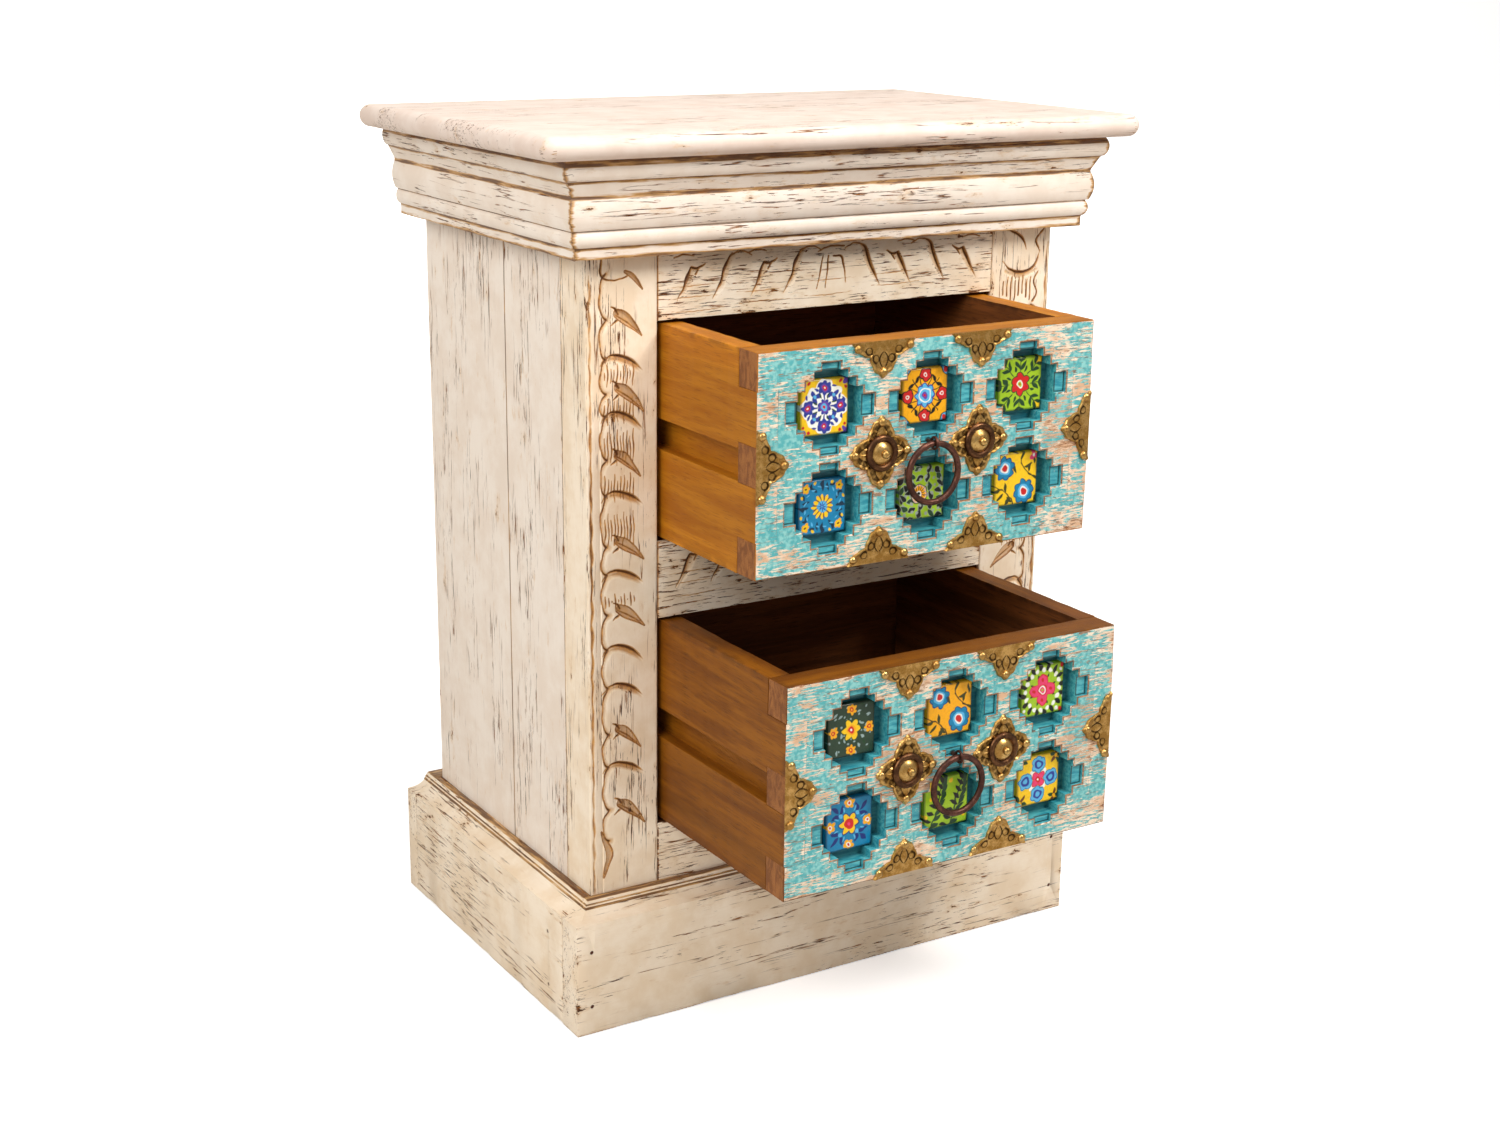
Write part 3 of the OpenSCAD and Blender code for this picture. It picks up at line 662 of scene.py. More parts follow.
@dataclass(frozen=True)
class AgedMetal(Finish):
    """Old metal, bright on its high spots and dark in its hollows."""

    bright: Colour
    mid: Colour
    dark: Colour
    roughness: float = 0.38
    metallic: float = 1.0

    def shade(self, graph: Graph, surface: bpy.types.Node) -> None:
        """Fills in the material; Finish.shade lists the arguments."""
        place = graph.place()
        hollow = graph.attribute("hollow")
        patina = graph.noise(place, 0.14, 5.0, 0.65)
        colour = graph.mix(graph.step(patina, 0.36, 0.6), self.bright, self.mid)
        speck = graph.step(graph.noise(place, 0.8, 4.0, 0.7), 0.54, 0.66)
        colour = graph.mix(graph.mul(speck, 0.55), colour, self.dark)
        colour = graph.mix(graph.step(hollow, 0.22, 0.78, 0.0, 0.92), colour, self.dark)
        graph.fill(surface.inputs, {
            "Base Color": colour,
            "Metallic": self.metallic,
            "Roughness": graph.step(patina, 0.35, 0.65, self.roughness - 0.08, self.roughness + 0.14),
            "Normal": graph.bump(graph.noise(place, 0.6, 3.0, 0.6), 0.0002, 0.5)})


@dataclass(frozen=True)
class PaintedGlaze(Finish):
    """Glossy glaze over the colours painted into the tile's own attribute."""

    wash: Colour = srgb(60, 40, 20)
    grime: Colour = srgb(58, 44, 30)

    def shade(self, graph: Graph, surface: bpy.types.Node) -> None:
        """Fills in the material; Finish.shade lists the arguments."""
        place = graph.place()
        painted = graph.attribute("paint", "Color")
        wash = graph.noise(place, 0.5, 3.0, 0.6)
        colour = graph.mix(graph.step(wash, 0.4, 0.7, 0.0, 0.12), painted, self.wash, "MULTIPLY")
        edges = graph.group(edge_group(), Place=place)
        # Darker towards the tile's edges, where it sits in its recess: grime with painted shade
        grime = graph.mul(graph.step(edges["Edge"], 2.2, 0.2), 0.5)
        colour = graph.mix(grime, colour, self.grime)
        graph.fill(surface.inputs, {
            "Base Color": colour,
            "Roughness": 0.34,
            "Specular IOR Level": 0.3,
            "Coat Weight": 0.18,
            "Coat Roughness": 0.08,
            "Normal": graph.bump(wash, 0.0002, 0.35)})


@dataclass(frozen=True)
class Studio(Finish):
    """Pale floor of the studio."""

    seen: Colour = srgb(246, 245, 243)
    seen_pale: Colour = srgb(250, 249, 248)
    bounced: Colour = srgb(206, 202, 196)

    def shade(self, graph: Graph, surface: bpy.types.Node) -> None:
        """Fills in the material; Finish.shade lists the arguments."""
        soft = graph.noise(graph.place(), 0.002, 2.0)
        pale = graph.mix(soft, self.seen, self.seen_pale)
        seen = graph.node("ShaderNodeLightPath").outputs["Is Camera Ray"]
        graph.fill(surface.inputs, {
            "Base Color": graph.mix(seen, self.bounced, pale),
            "Emission Color": (1.0, 1.0, 1.0, 1.0),
            "Emission Strength": graph.mul(seen, 0.42),
            "Roughness": 0.9})


def by_axis(kind: Callable[..., Finish], name: str, *settings: Union[Colour, float]) -> dict[Axis, Finish]:
    """Makes a finish for each direction of the grain.

    Args:
        kind: Class of the finish.
        name: Its name, without the direction.
        *settings: What follows the direction in the class.

    Returns:
        The finishes.
    """
    return {axis: kind(f"{name}_{axis.name.lower()}", axis, *settings) for axis in Axis}


CREAM = by_axis(WornPaint, "cream_paint")
AGED = by_axis(WornPaint, "aged_paint", srgb(250, 234, 211), srgb(239, 217, 187))
TOP = WornPaint("top_paint", Axis.X, srgb(234, 217, 204), srgb(225, 204, 189))
HONEY = by_axis(BareWood, "honey_wood", srgb(210, 136, 26), srgb(178, 105, 12), srgb(124, 71, 14))
# A darker copy of the honey wood, which paints shade onto the lower drawer
SHADED_HONEY = by_axis(BareWood, "umber_wood", srgb(150, 90, 14), srgb(118, 65, 8), srgb(78, 42, 8))
DARK = by_axis(BareWood, "dark_wood", srgb(134, 76, 32), srgb(96, 52, 18), srgb(48, 24, 8), 0.65)
TURQUOISE = BrushedTurquoise("turquoise_paint")
POCKET = PocketPaint("pocket_paint")
END = EndGrain("end_grain")
BRASS = AgedMetal("aged_brass", srgb(208, 166, 100), srgb(166, 124, 62), srgb(44, 28, 12))
STUD_BRASS = AgedMetal("rubbed_brass", srgb(214, 176, 110), srgb(176, 134, 72), srgb(84, 54, 24), 0.32)
IRON = AgedMetal("browned_iron", srgb(108, 68, 54), srgb(72, 44, 36), srgb(34, 21, 17), 0.4, 0.75)
BRONZE = AgedMetal("browned_bronze", srgb(118, 82, 54), srgb(78, 52, 36), srgb(34, 22, 14), 0.36)
GLAZE = PaintedGlaze("painted_glaze")


Chooser = Callable[[Vector, Vector], int]


@dataclass
class Piece:
    """A finished piece: its mesh, its materials, and what it stands for."""

    name: str
    nodes: tuple[str, ...]
    slot: str
    body: str
    finishes: tuple[Finish, ...]
    wear: float = 0.0

    def finish(self, bm: Mesh, smooth: float = 0.0) -> bpy.types.Object:
        """Makes the object from its mesh in millimetres.

        Args:
            bm: The mesh, which is freed.
            smooth: Angle in degrees below which edges are shaded smooth; zero leaves all the faces flat.

        Returns:
            The object, riding on its body.
        """
        bmesh.ops.scale(bm, vec=(MM,) * 3, verts=bm.verts)
        mesh = bpy.data.meshes.new(self.name)
        bm.to_mesh(mesh)
        bm.free()
        if smooth > 0:
            mesh.shade_smooth()
            mesh.set_sharp_from_angle(angle=math.radians(smooth))
        for finish in self.finishes:
            mesh.materials.append(finish.material())
        count = len(mesh.vertices)
        for name, corner in zip(("low", "high"), node_box(self.nodes[0])):
            layer = mesh.attributes.new(name, "FLOAT_VECTOR", "POINT")
            layer.data.foreach_set("vector", np.tile(np.array(corner) * MM, count))
        layer = mesh.attributes.new("wear", "FLOAT", "POINT")
        layer.data.foreach_set("value", np.full(count, self.wear))
        made = add_object(self.name, mesh)
        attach(made, self.body)
        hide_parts(*self.nodes)
        return made


def add_object(name: str, data: bpy.types.ID) -> bpy.types.Object:
    """Adds an object to the scene.

    Args:
        name: Its name.
        data: Its mesh, light or camera.

    Returns:
        The object.
    """
    made = bpy.data.objects.new(name, data)
    bpy.context.scene.collection.objects.link(made)
    return made


def node_box(node: str) -> tuple[Vector, Vector]:
    """Gives a CAD node's box in millimetres.

    Args:
        node: Name of the node.

    Returns:
        Its lowest and highest corner.
    """
    points = np.empty(len(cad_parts[node].data.vertices) * 3)
    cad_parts[node].data.vertices.foreach_get("co", points)
    points = points.reshape(-1, 3) * PER_METRE
    return Vector(points.min(axis=0)), Vector(points.max(axis=0))


def cad_mesh(node: str) -> Mesh:
    """Copies a CAD node in millimetres, with its triangles merged into flat faces.

    Args:
        node: Name of the node.

    Returns:
        The mesh.
    """
    bm = bmesh.new()
    bm.from_mesh(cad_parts[node].data)
    bmesh.ops.scale(bm, vec=(PER_METRE,) * 3, verts=bm.verts)
    bmesh.ops.remove_doubles(bm, verts=bm.verts, dist=0.002)
    bmesh.ops.dissolve_limit(bm, angle_limit=math.radians(0.5), verts=bm.verts, edges=bm.edges)
    bmesh.ops.recalc_face_normals(bm, faces=bm.faces)
    return bm


def face_layer(bm: Mesh, name: str) -> bmesh.types.BMLayerItem:
    """Gives a layer of numbers on the faces, made on first use.

    Args:
        bm: The mesh.
        name: Name of the layer.

    Returns:
        The layer.
    """
    layers = bm.faces.layers.float
    return layers.get(name) or layers.new(name)


def at_outline(edge: bmesh.types.BMEdge, low: Vector, high: Vector) -> bool:
    """Tells whether an edge lies at the outline of a box seen from the front.

    Args:
        edge: The edge.
        low: Lowest corner of the box.
        high: Highest corner of the box.

    Returns:
        True where the middle of the edge is within 1 mm of the outline.
    """
    middle = (edge.verts[0].co + edge.verts[1].co) / 2.0
    return min(middle.x - low.x, high.x - middle.x, middle.z - low.z, high.z - middle.z) < 1.0


def soften(bm: Mesh, width: float, least: float, box: tuple[Vector, Vector] | None) -> None:
    """Rounds the sharp edges, and marks the new faces as creases in inner corners and arrises on outer ones.

    Args:
        bm: The mesh.
        width: Width of the rounding.
        least: Least angle in degrees at an edge that is rounded.
        box: Corners of a box at whose outline alone the edges are rounded, or None for all.
    """
    crease, arris = face_layer(bm, "crease"), face_layer(bm, "arris")
    for layer, turn in ((crease, -1), (arris, 1)):
        sharp = [e for e in bm.edges if e.is_manifold
                 and turn * e.calc_face_angle_signed(0.0) > math.radians(least)
                 and e.calc_length() > BORE_EDGE and (box is None or at_outline(e, *box))
                 and not any(face[crease] > 0 for face in e.link_faces)]
        made = bmesh.ops.bevel(bm, geom=sharp, offset=width, segments=2, profile=0.5, affect="EDGES",
                               clamp_overlap=True, material=-1)
        for face in made["faces"]:
            if face.is_valid:
                face[layer] = 1.0


def outline_recesses(bm: Mesh, low: Vector, high: Vector, width: float = 1.2,
                     depth: float = 0.45, margin: float = SIDE_T + 1.5) -> None:
    """Chamfers the rims of the recesses in a drawer's face, and marks a strip along the foot of their walls.

    Args:
        bm: Mesh of a drawer's front, fresh from the CAD.
        low: Lowest corner of its box.
        high: Highest corner of its box.
        width: Width of the chamfer and of the strip.
        depth: Depth of the chamfer.
        margin: Width at both ends where the drawer's sides come through and the paint covers the joint.
    """
    crease, arris = face_layer(bm, "crease"), face_layer(bm, "arris")
    levels = sorted({round(face.calc_center_median().y, 1) for face in bm.faces if face.normal.y < -0.99})
    for level in levels[:2]:
        floor = [face for face in bm.faces
                 if face.normal.y < -0.99 and abs(face.calc_center_median().y - level) < 0.06]
        made = bmesh.ops.inset_region(bm, faces=floor, thickness=width, use_even_offset=True,
                                      use_boundary=True)
        flat = set(floor) | set(made["faces"])
        for face in made["faces"]:
            centre = face.calc_center_median()
            inner = low.x + margin < centre.x < high.x - margin and low.z + 2.0 < centre.z < high.z - 2.0
            face[arris if level == levels[0] else crease] = 1.0 if inner else 0.0
        if level == levels[0]:
            rim = {vert for face in made["faces"] if face[arris] > 0 for vert in face.verts
                   if any(other not in flat for other in vert.link_faces)}
            for vert in rim:
                vert.co.y += depth


def slice_at(bm: Mesh, place: Sequence[float], normal: Sequence[float],
             clear: bool = False) -> list[bmesh.types.BMEdge]:
    """Cuts the whole mesh along a plane.

    Args:
        bm: The mesh.
        place: A point of the plane.
        normal: Its direction.
        clear: Whether what lies beyond the plane is thrown away.

    Returns:
        The edges of the cut.
    """
    everything = bm.verts[:] + bm.edges[:] + bm.faces[:]
    cut = bmesh.ops.bisect_plane(bm, geom=everything, dist=TOUCH, plane_co=place, plane_no=normal,
                                 clear_outer=clear)["geom_cut"]
    return [item for item in cut if isinstance(item, bmesh.types.BMEdge)]


def slice_along(bm: Mesh, axis: Axis, spacing: float) -> None:
    """Cuts the mesh across one axis at even spaces, so that its long edges can be worn.

    Args:
        bm: The mesh.
        axis: Axis to cut across.
        spacing: Distance between two cuts.
    """
    places = [v.co[axis.value] for v in bm.verts]
    low, high = min(places), max(places)
    normal = Vector((0, 0, 0))
    normal[axis.value] = 1.0
    for index in range(1, int((high - low) / spacing)):
        slice_at(bm, normal * (low + index * spacing), normal)


def weather(bm: Mesh, low: Vector, high: Vector, depth: float, seed: float) -> None:
    """Wears the arrises unevenly, as by hand, without leaving the board's box.

    Args:
        bm: The mesh.
        low: Lowest corner of the box.
        high: Highest corner of the box.
        depth: Greatest wear.
        seed: Shift of the noise.
    """
    layer = bm.faces.layers.float.get("arris")
    centre = (low + high) / 2
    for vert in bm.verts:
        if layer is None or not any(face[layer] > 0 for face in vert.link_faces):
            continue
        spot = vert.co * 0.045 + Vector((seed, -seed, seed * 0.5))
        amount = depth * max(0.0, noise.noise(spot) + 0.45 * noise.noise(spot * 3.7))
        away = vert.co - centre
        inward = Vector([-math.copysign(1.0, away[i])
                         if min(vert.co[i] - low[i], high[i] - vert.co[i]) < 2.5 else 0.0
                         for i in range(3)])
        vert.co += inward * amount
        for i in range(3):
            vert.co[i] = min(max(vert.co[i], low[i]), high[i])


def gather_grime_and_shade(bm: Mesh, axis: Axis, shade: float, reach: float) -> None:
    """Marks the inner corners, the top, the foot and the mitres of a level moulding for grime and painted
    shade.

    Args:
        bm: Mesh of the moulding, with its creases marked.
        axis: Direction in which it runs.
        shade: Height below its top that is dark all over, as painted shadow of what sits above, with grime.
        reach: Distance from a corner at which the darkening ends.
    """
    crease = bm.faces.layers.float.get("crease")
    low, high = min(v.co.z for v in bm.verts), max(v.co.z for v in bm.verts)
    levels = {round(vert.co.z, 1) for face in bm.faces if face[crease] > 0 for vert in face.verts}
    ends = [(face.calc_center_median(), face.normal.copy()) for face in bm.faces
            if face.calc_area() > 200 and abs(face.normal.z) < 0.1
            and 0.5 < abs(face.normal[axis.value]) < 0.9]
    cuts = [(Vector((0, 0, level + shift)), Vector((0, 0, 1))) for level in levels | {low, high - shade}
            for shift in (-reach, reach)] + [(Vector((0, 0, high - shade)), Vector((0, 0, 1)))]
    for place, normal in cuts + [(centre - normal * reach, normal) for centre, normal in ends]:
        slice_at(bm, place, normal)
    grime = bm.verts.layers.float.new("grime")
    # Grime and painted shade in the inner corners, at the foot and in the band under the top; grime at the
    # mitres
    for vert in bm.verts:
        soiled = (vert.co.z < low + 0.3 or vert.co.z > high - shade - 0.3
                  or any(face[crease] > 0 for face in vert.link_faces)
                  or any(abs((vert.co - centre).dot(normal)) < 0.3 for centre, normal in ends))
        vert[grime] = 1.0 if soiled else 0.0


def part_planks(bm: Mesh, place: float, width: float = 0.8, depth: float = 0.9) -> None:
    """Cuts the V of a joint between two upright planks, and marks it and the panel's front edge as creases.

    Args:
        bm: Mesh of a side panel.
        place: Place of the joint along Y.
        width: Half the width of the V.
        depth: Its depth.
    """
    for shift in (-width, 0.0, width):
        slice_at(bm, (0, place + shift, 0), (0, 1, 0))
    outer = max(abs(v.co.x) for v in bm.verts)
    front = min(v.co.y for v in bm.verts)
    crease = bm.faces.layers.float.get("crease")
    for face in bm.faces:
        centre = face.calc_center_median()
        if outer - abs(centre.x) < 0.8 and (abs(centre.y - place) < width or centre.y < front + 0.9):
            face[crease] = 1.0
    for vert in bm.verts:
        if abs(vert.co.y - place) < 0.01 and outer - abs(vert.co.x) < 0.01:
            vert.co.x -= math.copysign(depth, vert.co.x)


@dataclass(frozen=True)
class Interior:
    """The hollow of the cabinet, whose own faces are bare dark wood."""

    half_width: float
    front: float
    back: float
    opening: float
    face: float

    def holds(self, centre: Vector, normal: Vector) -> bool:
        """Says whether a face looks into the hollow or into a drawer opening.

        Args:
            centre: Middle of the face.
            normal: Its outward normal.

        Returns:
            True for a face of the hollow.
        """
        inside = abs(centre.x) <= self.half_width + NEAR and self.front - NEAR <= centre.y <= self.back + NEAR
        looks = abs(normal.x) > 0.9 and centre.x * normal.x < 0 or abs(normal.y) > 0.9
        reveal = (abs(centre.x) <= self.opening + NEAR and self.face + 2.5 < centre.y < self.front + 1
                  and (abs(normal.z) > 0.9 or abs(normal.x) > 0.9))
        return inside and looks or reveal or (inside and abs(normal.z) > 0.9)


@dataclass(frozen=True)
class Board:
    """A board taken from its CAD node, with worn arrises and its own grain."""

    node: str
    axis: Axis
    slot: str = "cream_wood"
    body: str = "cabinet"
    wear: float = 0.3
    round_by: float = 1.0
    depth: float = 0.7
    spacing: float = 9.0
    smooth: float = 0.0
    least: float = 30.0
    moulded: bool = False
    joint: float | None = None

    def build(self, finishes: tuple[Finish, ...], choose: Chooser) -> bpy.types.Object:
        """Makes the board.

        Args:
            finishes: Its finishes.
            choose: Gives the finish's number from a face's middle and normal.

        Returns:
            The object.
        """
        low, high = node_box(self.node)
        bm = cad_mesh(self.node)
        recessed = self.slot == "turquoise_wood"
        if recessed:
            outline_recesses(bm, low, high)
        soften(bm, self.round_by, self.least, (low, high) if recessed else None)
        if self.moulded:
            cornice = self.node.startswith("cornice")
            # The cornice's 5 mm band under its top is painted shadow of the top board, with grime; the
            # creases get grime and painted shade
            gather_grime_and_shade(bm, self.axis, 5.0 if cornice else 0.5, 3.6 if cornice else 0.8)
        slice_along(bm, self.axis, self.spacing)
        weather(bm, low, high, self.depth, float(len(self.node)) * 3.1)
        if self.joint is not None:
            part_planks(bm, self.joint)
        bm.normal_update()
        for face in bm.faces:
            face.material_index = choose(face.calc_center_median(), face.normal)
        piece = Piece(self.node + "_board", (self.node,), self.slot, self.body, finishes, self.wear)
        return piece.finish(bm, self.smooth)


@dataclass(frozen=True)
class Stroke:
    """One cut of the carver's gouge: a chain of places, each with half the cut's width there."""

    chain: tuple[tuple[float, float, float], ...]
    depth: float
    flat: bool = False
    # How strongly the cut stains; for the broad shallow bands this is painted shade of the relief
    soak_and_shade: float = 1.0


def ridge(away: Numbers, half_width: float, over: float = 1.0) -> Numbers:
    """Gives a ridge with straight flanks, held between zero and one.

    Args:
        away: Distance from its line.
        half_width: Half its width.
        over: Height before it is held; over one gives it a flat top.

    Returns:
        Its height.
    """
    return np.clip(over - np.abs(away) / half_width, 0, 1)


def bend(chain: Sequence[tuple[float, float, float]]) -> Numbers:
    """Cuts the corners of a chain twice, so that it bends softly.

    Args:
        chain: The places, each with half the cut's width there.

    Returns:
        The chain with more places.
    """
    points = np.array(chain, dtype=float)
    for _ in range(2 if len(points) > 2 else 0):
        halves = np.stack([points[:-1] * 0.75 + points[1:] * 0.25, points[:-1] * 0.25 + points[1:] * 0.75], 1)
        points = np.vstack([points[:1], halves.reshape(-1, 3)[1:-1], points[-1:]])
    return points


def carve(strokes: Iterable[Stroke], u: Numbers, v: Numbers) -> tuple[Numbers, Numbers]:
    """Works out how deep a surface is cut.

    Args:
        strokes: The cuts.
        u: Places across, in millimetres.
        v: Places down, in millimetres.

    Returns:
        The depth and, from zero to one, how much staining lies there, part of it painted shade of the relief.
    """
    depth = np.zeros_like(u)
    stain = np.zeros_like(u)
    for stroke in strokes:
        chain = bend(stroke.chain)
        reach = chain[:, 2].max() + 2.0
        near = ((u > chain[:, 0].min() - reach) & (u < chain[:, 0].max() + reach)
                & (v > chain[:, 1].min() - reach) & (v < chain[:, 1].max() + reach))
        pu, pv = u[near], v[near]
        inside = np.full(pu.shape, -9.0)
        for (u0, v0, r0), (u1, v1, r1) in zip(chain[:-1], chain[1:]):
            du, dv = u1 - u0, v1 - v0
            t = np.clip(((pu - u0) * du + (pv - v0) * dv) / max(du * du + dv * dv, 1e-9), 0, 1)
            away = np.hypot(pu - u0 - t * du, pv - v0 - t * dv)
            inside = np.maximum(inside, (r0 + t * (r1 - r0)) - away)
        wall = 1.1 if stroke.flat else max(1.0, float(chain[:, 2].max()))
        rise = np.clip(inside / wall, 0, 1)
        rise = rise * rise * (3 - 2 * rise)
        if stroke.flat:
            line = ridge(inside - 0.1, 0.65, 1.15)
            wet_and_shade = np.maximum(line, 0.42 * np.clip((inside + 0.5) / 0.9, 0, 1))
        else:
            wet_and_shade = np.clip((inside + 0.35) / (0.75 * float(chain[:, 2].max()) + 0.35), 0, 1)
        depth[near] = np.maximum(depth[near], stroke.depth * rise)
        stain[near] = np.maximum(stain[near], stroke.soak_and_shade * wet_and_shade)
    return depth, stain


def leaf(u: float, v: float, scale: float = 1.0, lean: float = 1.0) -> list[Stroke]:
    """Cuts a filled leaf that starts broad at the left and sweeps down to a point at the right.

    Args:
        u: Place of its stem across.
        v: Place of its middle down.
        scale: Size.
        lean: How far it leans.

    Returns:
        The cuts.
    """
    body = ((u + 15 * scale, v - 4.5 * scale, 3.6 * scale), (u + 20 * scale, v - 2 * lean, 4.9 * scale),
            (u + 26.5 * scale, v + 4 * lean, 3.7 * scale), (u + 32.5 * scale, v + 10 * lean, 1.9 * scale),
            (u + 37 * scale, v + 16 * lean, 0.4))
    hook = ((u + 9.5 * scale, v - 10 * scale, 0.7), (u + 13.5 * scale, v - 8.5 * scale, 1.2),
            (u + 16 * scale, v - 4 * scale, 1.4))
    barb = ((u + 9.5 * scale, v + 4.5 * scale, 0.6), (u + 14 * scale, v + 1.5 * scale, 1.3))
    vein = ((u + 14 * scale, v - 3 * scale, 0.5), (u + 24 * scale, v + 3 * lean, 0.8),
            (u + 34 * scale, v + 12 * lean, 0.4))
    return [Stroke(body, 2.0, True), Stroke(hook, 1.8), Stroke(barb, 1.5), Stroke(vein, 2.6)]


def arch(u: float, v: float, scale: float = 1.0, lean: float = 1.0) -> list[Stroke]:
    """Cuts a thin crescent that rises from the left and falls away to the right.

    Args:
        u: Place of its foot across.
        v: Place of its middle down.
        scale: Size.
        lean: How far it leans.

    Returns:
        The cuts.
    """
    bow = ((u - 1, v + 4 * scale, 0.8), (u + 3 * scale, v - scale, 1.2),
           (u + 10 * scale, v - 3.5 * scale, 1.7),
           (u + 19 * scale, v - 1.5 * lean, 2.2), (u + 27 * scale, v + 3.5 * lean, 2.1),
           (u + 34 * scale, v + 12 * lean, 0.5))
    # A broad shallow band under the bow; its pale stain is painted shade of the relief
    under = tuple((place, low + 2.5, wide * 1.9) for place, low, wide in bow)
    return [Stroke(bow, 2.1), Stroke(under, 0.9, soak_and_shade=0.5)]


def comb(u0: float, u1: float, v0: float, v1: float, gap: float) -> list[Stroke]:
    """Cuts a row of short fine lines down the grain.

    Args:
        u0: Start across.
        u1: End across.
        v0: Top of the lines.
        v1: Foot of the lines.
        gap: Distance between two lines.

    Returns:
        The cuts.
    """
    cuts = []
    for index in range(int((u1 - u0) / gap)):
        at = u0 + index * gap
        wobble = 3.0 * math.sin(2.4 * index + v0)
        cuts.append(Stroke(((at, v0 + wobble, 0.3), (at + 0.4, (v0 + v1) / 2, 0.62), (at, v1 - wobble, 0.3)),
                           1.1))
    return cuts


def scallops(places: Sequence[float], top: float) -> list[Stroke]:
    """Cuts the scalloped line that runs down a stile between its rib and its leaves.

    Args:
        places: Heights of the cusps, measured down.
        top: Height at which the carving starts.

    Returns:
        The cuts.
    """
    cuts = []
    for above, below in zip(places[:-1], places[1:]):
        middle = (above + below) / 2 - top
        half = (below - above) / 2
        chain = tuple((across, middle + half * share, wide) for across, share, wide in (
            (17.0, -1, 1.4), (13.4, -0.7, 1.1), (11.6, -0.2, 0.9), (11.7, 0.4, 0.9), (13.8, 0.85, 1.1),
            (17.0, 1, 1.5)))
        # A broad shallow band beside each scallop; its pale stain is painted shade of the relief
        broad = tuple((place + 1.6, low, wide * 3.2) for place, low, wide in chain)
        cuts += [Stroke(chain, 1.9), Stroke(broad, 0.8, soak_and_shade=0.36)]
    return cuts


def stile_strokes(skip: float = 0.0) -> list[Stroke]:
    """Gives the carving of a stile: u runs in from the outer edge, v down from under the cornice.

    Args:
        skip: Length at the top that is left out.

    Returns:
        The cuts.
    """
    top = 2.0 / 3
    leaves = [place for place in (48.0, 104.0, 154.0, 222.0, 276.0, 373.0, 436.0) if place > skip]
    arches = [place for place in (78.0, 121.0, 182.0, 244.0, 304.0, 335.0, 400.0) if place > skip]
    cuts: list[Stroke] = []
    for index, place in enumerate(leaves):
        cuts += leaf(12.5, place - top, 0.93 + 0.06 * math.sin(index * 2.2),
                     0.85 + 0.12 * math.sin(index * 1.3))
    for index, place in enumerate(arches):
        cuts += arch(13.0, place - top, 1.0, 0.8 + 0.14 * math.sin(index * 1.9))
    cuts += scallops([max(14.0, skip)] + sorted(leaves + arches) + [462.0], top)
    cuts.append(Stroke(((9.5, 452.0, 0.6), (13.0, 460.0, 1.8), (17.0, 470.0, 3.2), (15.5, 480.0, 2.2),
                        (11.5, 491.0, 0.6)), 2.0, True))
    for index in range(22):
        level = 14.0 + 22.0 * index
        strength = 0.52 + 0.26 * math.exp(-((level - 245.0) / 100.0) ** 2) + 0.06 * math.sin(index * 2.7)
        wide = 1.9 + 0.6 * math.sin(index * 1.7)
        cuts.append(Stroke(((3.0, level, 1.0), (3.6, level + 14, wide), (3.1, level + 27, 0.9)), 0.6,
                           soak_and_shade=strength))
    if skip == 0:
        cuts.append(Stroke(((13.5, 1.0, 0.8), (12.0, 12.0, 1.2), (16.0, 18.0, 1.0), (26.0, 18.8, 0.7),
                            (35.0, 16.5, 0.9)), 1.7))
        cuts.append(Stroke(((33.0, 12.5, 1.0), (40.0, 16.0, 2.1), (47.0, 26.0, 0.5)), 1.8, True))
    for top_v, foot_v in ((84.0, 96.0), (110.0, 124.0), (134.0, 156.0), (168.0, 184.0), (198.0, 220.0),
                          (262.0, 268.0)):
        cuts += comb(15.0, 42.0, top_v - top, foot_v - top, 2.7)
    return cuts


def cup_strokes() -> list[Stroke]:
    """Gives the cup-shaped carving at the top of the right stile.

    Returns:
        The cuts.
    """
    cuts = [
        Stroke(((48.0, 1.0, 0.8), (37.0, 4.0, 1.6), (29.0, 9.0, 1.9), (25.5, 19.0, 0.7)), 2.2),
        Stroke(((49.0, 27.0, 0.6), (43.0, 34.0, 1.4), (34.0, 38.0, 2.0), (22.0, 37.5, 2.0), (14.0, 31.0, 1.4),
                (11.0, 21.0, 0.9)), 2.4),
        Stroke(((11.0, 21.0, 0.9), (17.5, 12.0, 1.2), (9.0, 5.0, 1.0), (6.0, 0.0, 0.6)), 1.8),
        # A broad shallow band under the cup; its pale stain is painted shade of the relief
        Stroke(((46.0, 36.0, 3.0), (30.0, 42.0, 3.4), (14.0, 36.0, 2.4)), 0.9, soak_and_shade=0.4),
        Stroke(((12.0, 38.0, 0.8), (17.0, 46.0, 1.1), (11.5, 55.0, 1.0), (16.0, 62.0, 1.2)), 1.6)]
    for index in range(8):
        at = 19.0 + 4.0 * index
        cuts.append(Stroke(((at, 42.0 + 2 * math.sin(index * 2.0), 0.6),
                            (at + 1.0, 58.0 + 3 * math.cos(index * 1.4), 0.8)), 1.4))
    return cuts


